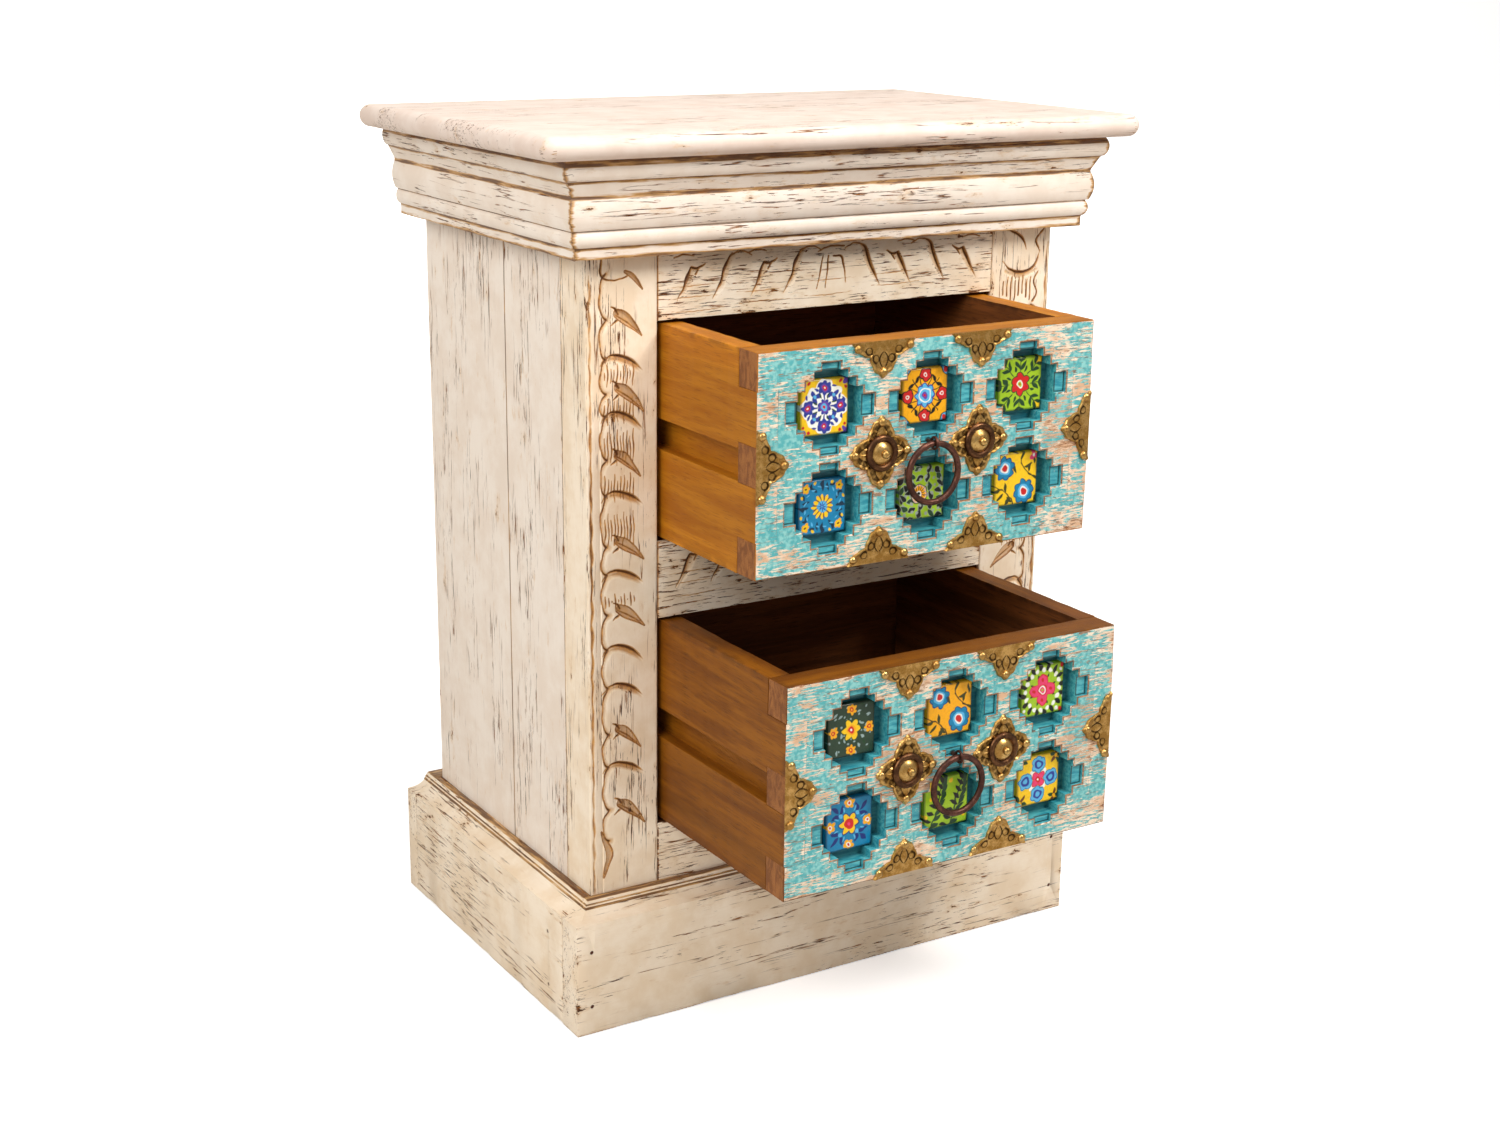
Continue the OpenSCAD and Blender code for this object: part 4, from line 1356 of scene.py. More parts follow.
def rail_strokes(width: float) -> list[Stroke]:
    """Gives the carving of a rail: u runs across from its left end, v down from its carved edge.

    Args:
        width: Length of the rail.

    Returns:
        The cuts.
    """
    cuts: list[Stroke] = []
    half = width / 2
    for side in (-1.0, 1.0):
        for kind, away in (("leaf", 128.0), ("arch", 97.0), ("leaf", 64.0), ("arch", 34.0)):
            at = half + side * away
            lean = 1.0 + 0.12 * math.sin(at)
            if kind == "arch":
                chain = ((at - side * 9, 4.0, 1.0), (at - side * 3.5, 6.5, 1.7), (at, 15.0, 2.2),
                         (at + side * 3.5 * lean, 26.0, 1.8), (at + side * 10.0 * lean, 38.0, 0.6))
                cuts.append(Stroke(chain, 2.9))
                # A broad shallow copy beside the arch; its pale stain is painted shade of the relief
                cuts.append(Stroke(tuple((u - side * 2.0, v, r * 2.3) for u, v, r in chain), 1.1, soak_and_shade=0.36))
                top = ((at - side * 9, 4.0, 0.8), (at - side * 16, 3.0, 0.7), (at - side * 23, 7.0, 0.6))
            else:
                chain = ((at - side * 1.5, 14.0, 1.9), (at + side * 1.5, 20.0, 2.2),
                         (at + side * 5.5 * lean, 29.0, 1.5), (at + side * 11.0 * lean, 39.0, 0.5))
                cuts.append(Stroke(chain, 2.8))
                # A broad shallow copy beside the leaf; its pale stain is painted shade of the relief
                cuts.append(Stroke(tuple((u - side * 1.8, v + 1, r * 2.2) for u, v, r in chain), 1.0,
                                   soak_and_shade=0.36))
                cuts.append(Stroke(((at - side * 13, 11.0, 0.8), (at - side * 7, 15.0, 1.4),
                                    (at - side * 1.5, 13.5, 1.4)), 2.1))
                cuts.append(Stroke(((at - side * 8, 14.5, 0.9), (at - side * 5, 18.5, 0.8)), 1.6))
                top = ((at + side * 14, 5.0, 0.6), (at + side * 6, 2.5, 0.8), (at - side * 3, 4.5, 0.5))
            cuts.append(Stroke(top, 1.5, soak_and_shade=0.8))
    for spread in (-9.0, -4.0):
        cuts.append(Stroke(((half + spread, 12.0, 0.7), (half + spread * 1.6, 37.0, 0.5)), 2.0))
    cuts.append(Stroke(((half + 1, 12.5, 0.9), (half + 9, 12.5, 1.1), (half + 10, 20.0, 0.9),
                        (half + 12.5, 34.0, 0.4)), 2.2))
    cuts.append(Stroke(((half - 14, 8.0, 0.6), (half - 4, 4.0, 0.9), (half + 10, 5.0, 0.8)), 1.6, soak_and_shade=0.8))
    for index in range(9):
        start = 8.0 + (index * 61.0) % (width - 70.0)
        level = 27.0 + (index * 7.3) % 20.0
        middle = (start + 20, level + 1.2 * math.sin(index), 0.35)
        cuts.append(Stroke(((start, level, 0.1), middle, (start + 46, level - 0.8, 0.1)), 0.9, soak_and_shade=0.8))
    return cuts


@dataclass(frozen=True)
class CarvedPanel:
    """A stile or rail whose front is carved."""

    node: str
    axis: Axis
    wear: float
    top: float
    foot: float
    strokes: tuple[Stroke, ...]
    mirrored: bool = False
    cell: float = 0.62

    def relief(self, x: Numbers, z: Numbers, low: Vector, high: Vector) -> tuple[Numbers, Numbers]:
        """Gives the carving at places on the front.

        Args:
            x: Places across in the row's frame.
            z: Heights in the row's frame.
            low: Lowest corner of the panel.
            high: Highest corner of the panel.

        Returns:
            Depth, and staining that is partly painted shade of the relief.
        """
        u = high.x - x if self.mirrored else x - low.x
        wobble = 0.35 * np.sin(z * 0.31 + 0.6 * np.sin(x * 0.37)) + 0.2 * np.sin(x * 0.9 + z * 0.13)
        depth, stain = carve(self.strokes, u + wobble, self.top - z + 0.5 * wobble)
        if self.axis is Axis.Z:
            depth = depth + 0.8 * np.clip((u - 5.5) / 6.0, -1, 1) ** 2 * (u < 11.5)
        return depth, stain

    def build(self, interior: Interior) -> bpy.types.Object:
        """Makes the panel.

        Args:
            interior: The cabinet's hollow.

        Returns:
            The object.
        """
        low, high = node_box(self.node)
        slab_back = interior.front
        bm = bmesh.new()
        across = max(2, round((high.x - low.x) / self.cell))
        down = max(2, round((self.top - self.foot) / self.cell))
        bmesh.ops.create_grid(bm, x_segments=across, y_segments=down, size=0.5)
        for vert in bm.verts:
            x = low.x + (vert.co.x + 0.5) * (high.x - low.x)
            z = self.foot + (vert.co.y + 0.5) * (self.top - self.foot)
            vert.co = Vector((x, low.y, z))
        stain = bm.verts.layers.float.new("stain")
        spots = np.array([v.co[:] for v in bm.verts])
        depth, soak_and_shade = self.relief(spots[:, 0], spots[:, 2], low, high)
        rim = np.minimum.reduce([spots[:, 0] - low.x, high.x - spots[:, 0]])
        depth = depth + 0.7 * ridge(rim, 1.4) ** 2
        # A dark line down both ends of a rail, where it meets the stiles
        if self.axis is Axis.X:
            soak_and_shade = np.maximum(soak_and_shade, ridge(rim, 1.3, 1.2))
        for vert, cut, wet_and_shade in zip(bm.verts, depth, soak_and_shade):
            vert.co.y += cut
            vert[stain] = wet_and_shade
        # A short first step keeps the staining and painted shade of the front off the sides
        for vert in close_back(bm, (low.y + 4.0, slab_back)):
            vert[stain] = 0.0
        self.close_ends(bm, low, high, slab_back)
        bmesh.ops.recalc_face_normals(bm, faces=bm.faces)
        for face in bm.faces:
            face.material_index = 1 if interior.holds(face.calc_center_median(), face.normal) else 0
        piece = Piece(self.node + "_panel", (self.node,), "cream_wood", "cabinet",
                      (AGED[self.axis], DARK[self.axis]), self.wear)
        return piece.finish(bm, 40.0)

    def close_ends(self, bm: Mesh, low: Vector, high: Vector, slab_back: float) -> None:
        """Adds the plain blocks above and below the carved stretch, and the post behind a stile.

        Args:
            bm: The panel's mesh.
            low: Lowest corner of the panel.
            high: Highest corner of the panel.
            slab_back: Back of the slab that is carved.
        """
        blocks = []
        if high.z > self.top + 0.5:
            blocks.append((Vector((low.x, low.y + 0.5, self.top)), Vector((high.x, slab_back, high.z))))
        if low.z < self.foot - 0.5:
            blocks.append((Vector((low.x, low.y + 0.5, low.z)), Vector((high.x, slab_back, self.foot))))
        if high.y > slab_back + 0.5:
            side = abs(low.x) > abs(high.x)
            x0 = low.x if side else high.x - SIDE_T
            blocks.append((Vector((x0, slab_back, low.z)), Vector((x0 + SIDE_T, high.y, high.z))))
        for corner, other in blocks:
            add_block(bm, corner, other)


def add_block(bm: Mesh, low: Vector, high: Vector) -> None:
    """Adds a plain block to a mesh.

    Args:
        bm: The mesh.
        low: Its lowest corner.
        high: Its highest corner.
    """
    verts = bmesh.ops.create_cube(bm, size=1.0)["verts"]
    bmesh.ops.scale(bm, vec=high - low, verts=verts)
    bmesh.ops.translate(bm, vec=(low + high) / 2, verts=verts)


def close_back(bm: Mesh, backs: Sequence[float]) -> list[bmesh.types.BMVert]:
    """Draws the border of a sheet back in steps and closes it there.

    Args:
        bm: Mesh of the sheet.
        backs: Places of the steps along Y.

    Returns:
        The new vertices.
    """
    border = [edge for edge in bm.edges if edge.is_boundary]
    added: list[bmesh.types.BMVert] = []
    for back in backs:
        made = bmesh.ops.extrude_edge_only(bm, edges=border)["geom"]
        fresh = [item for item in made if isinstance(item, bmesh.types.BMVert)]
        for vert in fresh:
            vert.co.y = back
        added += fresh
        border = [item for item in made if isinstance(item, bmesh.types.BMEdge) and item.is_boundary]
    bmesh.ops.contextual_create(bm, geom=border)
    return added


def lathe(bm: Mesh, profile: Sequence[tuple[float, float]], steps: int) -> list[bmesh.types.BMVert]:
    """Turns a profile round the Z axis.

    Args:
        bm: Mesh to add to.
        profile: Radius and height of each point, from the middle outwards or round.
        steps: Number of steps in the turn.

    Returns:
        The new vertices.
    """
    before = set(bm.verts)
    points = [bm.verts.new((r, 0, z)) for r, z in profile]
    edges = [bm.edges.new(pair) for pair in zip(points[:-1], points[1:])]
    bmesh.ops.spin(bm, geom=points + edges, cent=(0, 0, 0), axis=(0, 0, 1), angle=math.tau, steps=steps,
                   use_merge=True)
    made = [v for v in bm.verts if v not in before]
    bmesh.ops.remove_doubles(bm, verts=made, dist=TOUCH)
    return [v for v in bm.verts if v not in before]


@dataclass(frozen=True)
class FaceFrame:
    """Places things on a drawer's face: x across, y up from its middle, z out of the face."""

    y: float
    z: float

    def matrix(self, x: float = 0.0, up: float = 0.0, out: float = 0.0, turn: float = 0.0) -> Matrix:
        """Gives the matrix of a place on the face.

        Args:
            x: Distance across from the middle.
            up: Distance up from the middle.
            out: Distance out of the face.
            turn: Turn on the face, in degrees.

        Returns:
            The matrix from face space to the row's frame, in millimetres.
        """
        return (Matrix.Translation((x, self.y - out, self.z + up)) @ Matrix.Rotation(math.radians(90), 4, "X")
                @ Matrix.Rotation(math.radians(turn), 4, "Z"))


@dataclass(frozen=True)
class PlateRelief:
    """The pressed relief of a brass plate, in its own plane."""

    reach: float = 26.0
    waist: float = 17.5
    lobe: float = 4.3
    base: float = 0.75
    plain: bool = False

    def outline(self, angle: Numbers) -> Numbers:
        """Gives the plate's radius.

        Args:
            angle: Angles in radians.

        Returns:
            The radii.
        """
        radius = self.waist + (self.reach - self.waist) * np.abs(np.cos(2 * angle)) ** 1.5
        quarter = (angle + math.pi / 4) % (math.pi / 2) - math.pi / 4
        side = NAIL_OUT * np.sin(np.abs(quarter))
        reach = NAIL_OUT * np.cos(quarter) + np.sqrt(np.clip(self.lobe ** 2 - side ** 2, 0, None))
        ripple = 1 + 0.018 * np.cos(20 * angle)
        return np.where(side < self.lobe, np.maximum(radius, reach), radius) * ripple

    def height(self, x: Numbers, y: Numbers, share: Numbers) -> tuple[Numbers, Numbers]:
        """Gives the relief.

        Args:
            x: Places across.
            y: Places up.
            share: How far out the place lies between the middle and the outline.

        Returns:
            Height over the board, and how deep in a hollow the place lies.
        """
        angle = np.arctan2(y, x)
        radius = np.hypot(x, y)
        quarter = (angle + math.pi / 4) % (math.pi / 2) - math.pi / 4
        along = radius * np.cos(quarter)
        across = np.abs(radius * np.sin(quarter))
        raised = 0.9 * ridge(share - 0.93, 0.09)
        if self.plain:
            bud = 3.6 * np.sin(np.clip((along - 8) / 11.5, 0, 1) * math.pi) ** 0.7
            line = ridge(across - bud, 0.8, 1.3)
            line *= (along > 8) * (along < 19.5) * (y < -np.abs(x))
            curl = ridge(np.hypot(along - 13.0, across - 7.0) - 2.8, 0.8, 1.3) * (y < -4)
            line = np.maximum(line, 0.8 * curl)
            height = self.base + np.clip(raised + 0.35 * share ** 2 - 0.45 * line, -0.4, 1.25)
            return height, np.clip(0.45 * ridge(share - 0.8, 0.1) + 0.95 * line, 0, 1)
        blade = 4.6 * np.sin(np.clip((along - 6) / 14.5, 0, 1) * math.pi) ** 0.8
        raised += 0.55 * np.clip((blade - across) / 1.2, 0, 1)
        raised += 0.5 * ridge(across, 0.8) * (along < 19.5)
        raised += 0.7 * ridge(np.hypot(along - 14.0, across - 7.2) - 3.2, 0.9)
        beads = np.abs((angle * 26 / math.pi) % 1 - 0.5) * 2
        raised += 0.45 * ridge(radius - 15.6, 0.9) * beads
        cut = ridge(across - blade - 0.5, 0.6) * (along > 5) * (along < 21)
        raised -= 0.35 * cut
        height = self.base + np.clip(raised, -0.4, 1.25)
        hollow = np.clip(0.75 - raised * 1.15, 0, 1) * 0.85 + 0.5 * cut
        return height, np.clip(hollow, 0, 1)

    def add(self, bm: Mesh, place: Matrix, half: bool) -> None:
        """Adds one plate to a mesh.

        Args:
            bm: Mesh to add to.
            place: Matrix of its middle on the face.
            half: Whether the part over its own X axis is cut away.
        """
        turns, rings = 144, 22
        angles = np.linspace(0, math.tau, turns, endpoint=False)
        shares = np.linspace(0, 1, rings + 1)[1:] ** 0.9
        angle, share = np.meshgrid(angles, shares)
        radius = self.outline(angle) * share
        x, y = radius * np.cos(angle), radius * np.sin(angle)
        height, hollow = self.height(x, y, share)
        height[-1] = 0.15
        plate = bmesh.new()
        layer = plate.verts.layers.float.new("hollow")
        rows = []
        for ring in range(rings):
            row = [plate.verts.new((x[ring, i], y[ring, i], height[ring, i])) for i in range(turns)]
            for vert, deep in zip(row, hollow[ring]):
                vert[layer] = deep
            rows.append(row)
        for inner, outer in zip(rows[:-1], rows[1:]):
            for i in range(turns):
                j = (i + 1) % turns
                plate.faces.new((inner[i], outer[i], outer[j], inner[j]))
        plate.faces.new(rows[0])
        skirt = [plate.verts.new((v.co.x, v.co.y, 0.0)) for v in rows[-1]]
        for i in range(turns):
            j = (i + 1) % turns
            plate.faces.new((rows[-1][i], skirt[i], skirt[j], rows[-1][j]))
        plate.faces.new(list(reversed(skirt)))
        if half:
            bmesh.ops.contextual_create(plate, geom=slice_at(plate, (0, 0, 0), (0, 1, 0), True))
        plate.transform(place)
        spare = bpy.data.meshes.new("plate")
        plate.to_mesh(spare)
        plate.free()
        bm.from_mesh(spare)
        bpy.data.meshes.remove(spare)


class Hand:
    """A painter's hand on one tile: shapes laid over each other on a grid of points."""

    def __init__(self, x: Numbers, y: Numbers, ground: Colour) -> None:
        """Starts with a plain ground.

        Args:
            x: Places across from the tile's middle.
            y: Places up from the tile's middle.
            ground: Colour of the ground.
        """
        self.x = x + 0.35 * np.sin(y * 0.8 + 1.3) + 0.2 * np.sin(x * 1.1)
        self.y = y + 0.35 * np.sin(x * 0.7 + 0.4) + 0.2 * np.sin(y * 1.3)
        self.colour = np.tile(np.array(ground), (x.size, 1))

    def lay(self, inside: Numbers, colour: Colour, soft: float = 0.5) -> None:
        """Lays a colour where a signed depth is positive.

        Args:
            inside: How far inside the shape each place lies.
            colour: The colour.
            soft: Width of the soft edge.
        """
        share = np.clip(inside / soft + 0.5, 0, 1)[:, None]
        self.colour = self.colour * (1 - share) + np.array(colour) * share

    def dot(self, x: float, y: float, radius: float, colour: Colour) -> None:
        """Paints a round spot.

        Args:
            x: Place across.
            y: Place up.
            radius: Its radius.
            colour: Its colour.
        """
        self.lay(radius - np.hypot(self.x - x, self.y - y), colour)

    def petal(self, x: float, y: float, turn: float, length: float, width: float, colour: Colour,
              blunt: float = 0.5) -> None:
        """Paints a petal or leaf that starts at a place and points away at an angle.

        Args:
            x: Place of its foot across.
            y: Place of its foot up.
            turn: Direction in degrees.
            length: Its length.
            width: Its greatest width.
            colour: Its colour.
            blunt: Half gives a round petal, one a pointed leaf.
        """
        c, s = math.cos(math.radians(turn)), math.sin(math.radians(turn))
        along = (self.x - x) * c + (self.y - y) * s
        across = np.abs((self.y - y) * c - (self.x - x) * s)
        t = 2 * along / length - 1
        self.lay(width / 2 * np.clip(1 - t * t, 0, None) ** blunt - across - 4 * (np.abs(t) > 1), colour)

    def stem(self, chain: Sequence[tuple[float, float]], width: float, colour: Colour) -> None:
        """Paints a stem through a chain of places.

        Args:
            chain: The places.
            width: Its width.
            colour: Its colour.
        """
        inside = np.full(self.x.shape, -9.0)
        for (x0, y0), (x1, y1) in zip(chain[:-1], chain[1:]):
            dx, dy = x1 - x0, y1 - y0
            t = np.clip(((self.x - x0) * dx + (self.y - y0) * dy) / (dx * dx + dy * dy), 0, 1)
            inside = np.maximum(inside, width / 2 - np.hypot(self.x - x0 - t * dx, self.y - y0 - t * dy))
        self.lay(inside, colour)

    def flower(self, x: float, y: float, turn: float, count: int, reach: float, width: float, colour: Colour,
               heart: Sequence[tuple[float, Colour]] = (), line: Colour | None = None) -> None:
        """Paints a flower of round petals with a heart of rings.

        Args:
            x: Place across.
            y: Place up.
            turn: Turn in degrees.
            count: Number of petals.
            reach: Length of a petal from the middle.
            width: Width of a petal.
            colour: Colour of the petals.
            heart: Radius and colour of each ring, the largest first.
            line: Colour of a line round the petals.
        """
        if line is not None:
            for index in range(count):
                self.petal(x, y, turn + 360 * index / count, reach + 0.8, width + 1.5, line)
        for index in range(count):
            self.petal(x, y, turn + 360 * index / count, reach, width, colour)
        for radius, shade in heart:
            self.dot(x, y, radius, shade)

    def around(self, count: int, first: float, radius: float, shape: Callable[..., None], *style: object,
               middle: tuple[float, float] = (0.0, 0.0)) -> None:
        """Repeats a shape in a ring.

        Args:
            count: Number of shapes.
            first: Direction of the first one in degrees.
            radius: Distance from the middle.
            shape: This hand's petal, flower or dot, or a function of x and y.
            *style: What the shape takes after its place; a turn counts from straight outwards.
            middle: Middle of the ring.
        """
        for index in range(count):
            angle = first + 360 * index / count
            x = middle[0] + radius * math.cos(math.radians(angle))
            y = middle[1] + radius * math.sin(math.radians(angle))
            turned = (angle + style[0], *style[1:]) if shape in (self.petal, self.flower) else style
            shape(x, y, *turned)


CORNERS = ((-1, -1), (-1, 1), (1, -1), (1, 1))

YELLOW, ORANGE, LIME = srgb(250, 200, 22), srgb(248, 172, 12), srgb(160, 196, 34)
WHITE, BLACK, RED = srgb(246, 244, 234), srgb(18, 20, 14), srgb(206, 30, 30)
COBALT, SKY, AZURE = srgb(44, 58, 150), srgb(90, 180, 226), srgb(8, 126, 172)
LEAF, VIOLET, PINK = srgb(30, 66, 34), srgb(104, 64, 160), srgb(232, 60, 110)
BOTTLE, BROWN = srgb(40, 62, 44), srgb(110, 58, 20)


def paint_white_star(hand: Hand) -> None:
    """Yellow ground, white lobed field and cobalt flowers.

    Args:
        hand: The painter's hand.
    """
    for across, up in CORNERS:
        hand.flower(22 * across, 22 * up, 0, 8, 8.5, 4.5, VIOLET, ((3.5, COBALT),))
        hand.dot(13.64 * across, 18.04 * up, 1.3, RED)
        hand.dot(18.04 * across, 13.64 * up, 1.3, RED)
    hand.around(4, 0, 12.5, hand.dot, 8.4, ORANGE)
    hand.flower(0, 0, 0, 4, 20.8, 17.0, WHITE)
    hand.flower(0, 0, 45, 4, 19.0, 13.0, WHITE)
    hand.around(4, 0, 3.5, hand.petal, 0, 10, 1.6, COBALT, 1.0)
    hand.around(4, 0, 14.0, hand.flower, 0, 6, 5.8, 4.4, COBALT, ((3.0, VIOLET), (2.0, RED), (0.8, WHITE)))
    hand.around(4, 45, 11.5, hand.flower, 0, 3, 5.2, 3.6, COBALT, ((1.2, SKY),))
    hand.around(8, 22.5, 6.5, hand.petal, 0, 4.5, 1.6, LEAF, 1.0)
    hand.around(8, 22.5, 13.0, hand.petal, 40, 4.6, 2.0, COBALT, 1.0)
    hand.around(8, 22.5, 16.0, hand.petal, -60, 4.2, 1.8, COBALT, 1.0)
    hand.around(12, 0, 8.6, hand.dot, 0.9, COBALT)
    hand.flower(0, 0, 22.5, 8, 6.2, 3.2, COBALT, ((4.0, VIOLET), (2.8, SKY), (1.4, RED)))


def paint_red_buds(hand: Hand) -> None:
    """Orange ground, a blue rosette, four red buds and dark stems.

    Args:
        hand: The painter's hand.
    """
    for across, up in CORNERS:
        for away, radius, colour in ((22, 8.6, BLACK), (22, 7.8, SKY), (22, 5.2, COBALT), (18.48, 2.4, RED)):
            hand.dot(away * across, away * up, radius, colour)
    hand.around(4, 45, 17, lambda x, y: hand.stem(((x * 0.45, y * 0.45), (x, y)), 0.9, BLACK))
    for lean in (70, -70):
        hand.around(4, 45, 13, hand.petal, lean, 7, 2.6, BLACK, 1.0)
    hand.around(8, 22.5, 15, lambda x, y: hand.stem(((x * 0.55, y * 0.55), (x, y)), 0.8, BLACK))
    for lean in (118, -118):
        hand.around(4, 0, 17.5, hand.petal, lean, 7.5, 2.2, BLACK, 1.0)
    hand.around(4, 0, 15.5, hand.flower, 36, 5, 4.8, 4.6, RED, ((1.7, WHITE), (1.0, RED)), BLACK)
    hand.flower(0, 0, 0, 8, 8.6, 5.4, SKY, ((5.6, WHITE), (4.6, SKY), (2.8, VIOLET), (1.3, RED)), COBALT)


def paint_red_daisy(hand: Hand) -> None:
    """Lime ground, one red flower and dark leaves all round.

    Args:
        hand: The painter's hand.
    """
    hand.around(4, 45, 25, hand.dot, 4.5, YELLOW)
    hand.around(8, 0, 20, lambda x, y: hand.stem(((x * 0.5, y * 0.5), (x, y)), 0.8, LEAF))
    for turn, radius in ((0, 11.0), (45, 14.0), (0, 17.0), (45, 20.0)):
        for lean in (38, -38):
            hand.around(4, turn, radius, hand.petal, lean, 8.5, 3.2, LEAF, 1.0)
    hand.around(8, 22.5, 9.5, hand.petal, 0, 5.5, 2.4, LEAF, 1.0)
    hand.flower(0, 0, 30, 6, 8.8, 6.2, RED, ((3.0, WHITE), (2.2, LIME), (1.1, RED)), LEAF)


def paint_sunburst(hand: Hand) -> None:
    """Blue ground, a ring of yellow rays and four orange spots.

    Args:
        hand: The painter's hand.
    """
    navy = srgb(8, 46, 70)
    hand.around(4, 0, 11.5, hand.petal, 0, 9, 3.4, navy, 1.0)
    hand.around(8, 22.5, 12, hand.petal, 30, 7, 2.2, navy, 1.0)
    hand.around(12, 8, 16.5, hand.petal, -50, 5.0, 2.4, navy, 1.0)
    hand.around(16, 3, 14.5, hand.petal, 70, 3.6, 1.1, SKY, 1.0)
    hand.around(8, 20, 19.5, hand.dot, 1.2, YELLOW)
    hand.around(4, 45, 20.5,
                lambda x, y: hand.flower(x, y, 0, 5, 3.6, 3.0, ORANGE, ((2.2, YELLOW), (0.9, BROWN))))
    hand.around(12, 0, 4.2, hand.petal, 0, 5.2, 2.7, YELLOW)
    hand.around(12, 15, 4.4, hand.petal, 0, 4.4, 1.0, BROWN)
    hand.dot(0, 0, 4.0, SKY)
    hand.around(8, 0, 0.6, hand.petal, 0, 3.0, 1.0, COBALT)


def paint_striped_shell(hand: Hand) -> None:
    """Lime ground nearly covered by dark leaves edged in grey, and a striped orange shell.

    Args:
        hand: The painter's hand.
    """
    grey = srgb(158, 168, 156)
    for index in range(49):
        x = -19.5 + 6.5 * (index % 7) + 1.2 * math.sin(index * 2.1)
        y = 19.5 - 6.5 * (index // 7) + 1.4 * math.cos(index * 1.7)
        hand.petal(x, y, 40 + 53 * index, 7.8, 4.8, grey, 0.8)
        hand.petal(x, y, 40 + 53 * index, 7.4, 3.9, BLACK if index % 3 else LEAF, 0.9)
        hand.dot(x - 2.4, y - 2.6, 1.3, grey)
    hand.dot(-2.5, -1, 7.6, BLACK)
    hand.dot(-2.5, -1, 6.9, srgb(236, 206, 190))
    hand.around(13, 0, 1.6, hand.petal, 0, 5.0, 2.0, ORANGE, middle=(-2.5, -1))
    hand.around(13, 14, 1.8, hand.petal, 0, 5.0, 0.8, BROWN, middle=(-2.5, -1))
    hand.dot(-2.5, -1, 2.2, WHITE)
    hand.dot(-2.5, -1, 1.3, BLACK)


def paint_two_blue(hand: Hand, places: Sequence[tuple[float, float, float]],
                   bud: tuple[float, float] | None) -> None:
    """Two blue flowers among dark leaves.

    Args:
        hand: The painter's hand.
        places: Place and reach of each flower.
        bud: Place of a pink bud, if there is one.
    """
    hand.stem(((22, -3), (12, 3), (4, 12), (6, 22)), 0.9, BLACK)
    hand.stem(((-22, -4), (-12, -8), (-3, -16), (-2, -22)), 0.9, BLACK)
    for x, y, turn in ((4, 14, 60), (8, 8, 20), (12, 4, 75), (15, 1, -20), (-14, -7, 200), (-9, -10, 100),
                       (-5, -14, 230), (-3, -19, 130), (18, 10, 100), (2, 20, 160), (-18, -16, 40),
                       (-20, 20, 320), (18, -20, 60), (0, 4, 110)):
        hand.petal(x, y, turn, 8.0, 2.8, srgb(58, 60, 20), 1.0)
    for x, y, reach in places:
        hand.flower(x, y, 10, 8, reach, reach * 0.62, AZURE,
                    ((reach * 0.6, SKY), (reach * 0.42, WHITE), (reach * 0.3, RED)), srgb(20, 60, 110))
    if bud is not None:
        hand.flower(bud[0], bud[1], 230, 3, 5.0, 4.0, PINK, ((1.2, WHITE),))


def paint_green_night(hand: Hand) -> None:
    """Dark green ground, a yellow star flower, four small ones and pale dots.

    Args:
        hand: The painter's hand.
    """
    pale = srgb(150, 172, 170)
    for index in range(26):
        angle = index * 2.399
        radius = 6.5 + 0.62 * index
        x, y = radius * math.cos(angle), radius * math.sin(angle)
        hand.petal(x, y, index * 67, 4.4, 1.7, pale if index % 3 else LEAF, 1.0)
        hand.dot(x + 2.0, y - 1.5, 0.8, pale)
    hand.around(4, 0, 15.8, hand.flower, 0, 6, 4.4, 3.0, ORANGE, ((1.9, RED), (0.8, YELLOW)))
    hand.flower(0, 0, 0, 6, 8.4, 5.0, YELLOW, ((4.0, ORANGE), (2.8, RED), (1.1, WHITE)), LEAF)


def paint_pink_cross(hand: Hand) -> None:
    """Lime, black and white ground with a pink four-lobed flower.

    Args:
        hand: The painter's hand.
    """
    hand.around(16, 8, 15.5, hand.petal, 0, 7.5, 4.0, BLACK, 0.9)
    hand.around(16, 20, 16.5, hand.dot, 1.9, WHITE)
    hand.around(12, 10, 22.5, hand.dot, 1.5, WHITE)
    hand.around(4, 45, 26, hand.dot, 2.2, RED)
    hand.dot(0, 0, 13.6, LIME)
    hand.around(8, 22.5, 9, hand.petal, 0, 4.5, 2.2, LEAF, 1.0)
    hand.flower(0, 0, 0, 4, 12.2, 8.8, PINK, ((4.4, RED), (3.4, WHITE), (2.6, PINK), (1.2, LIME)), RED)
    hand.around(4, 0, 8.2, hand.dot, 1.5, RED)


def paint_blue_star(hand: Hand) -> None:
    """Bright blue ground, a yellow star flower, four small ones and dark leaves.

    Args:
        hand: The painter's hand.
    """
    navy = srgb(16, 44, 116)
    for lean in (60, -60):
        hand.around(4, 45, 11, hand.petal, lean, 9, 3.6, navy, 1.0)
    hand.around(4, 45, 13, hand.petal, 0, 9.5, 3.4, navy, 1.0)
    hand.around(8, 22.5, 10, hand.petal, 0, 5, 1.4, SKY, 1.0)
    hand.around(4, 45, 10.5, hand.dot, 1.6, SKY)
    hand.around(4, 0, 16.6, hand.flower, 0, 5, 4.6, 3.6, ORANGE, ((2.0, WHITE), (1.1, RED)))
    hand.flower(0, 0, 0, 6, 8.6, 5.0, YELLOW, ((4.2, RED), (1.5, PINK)), navy)


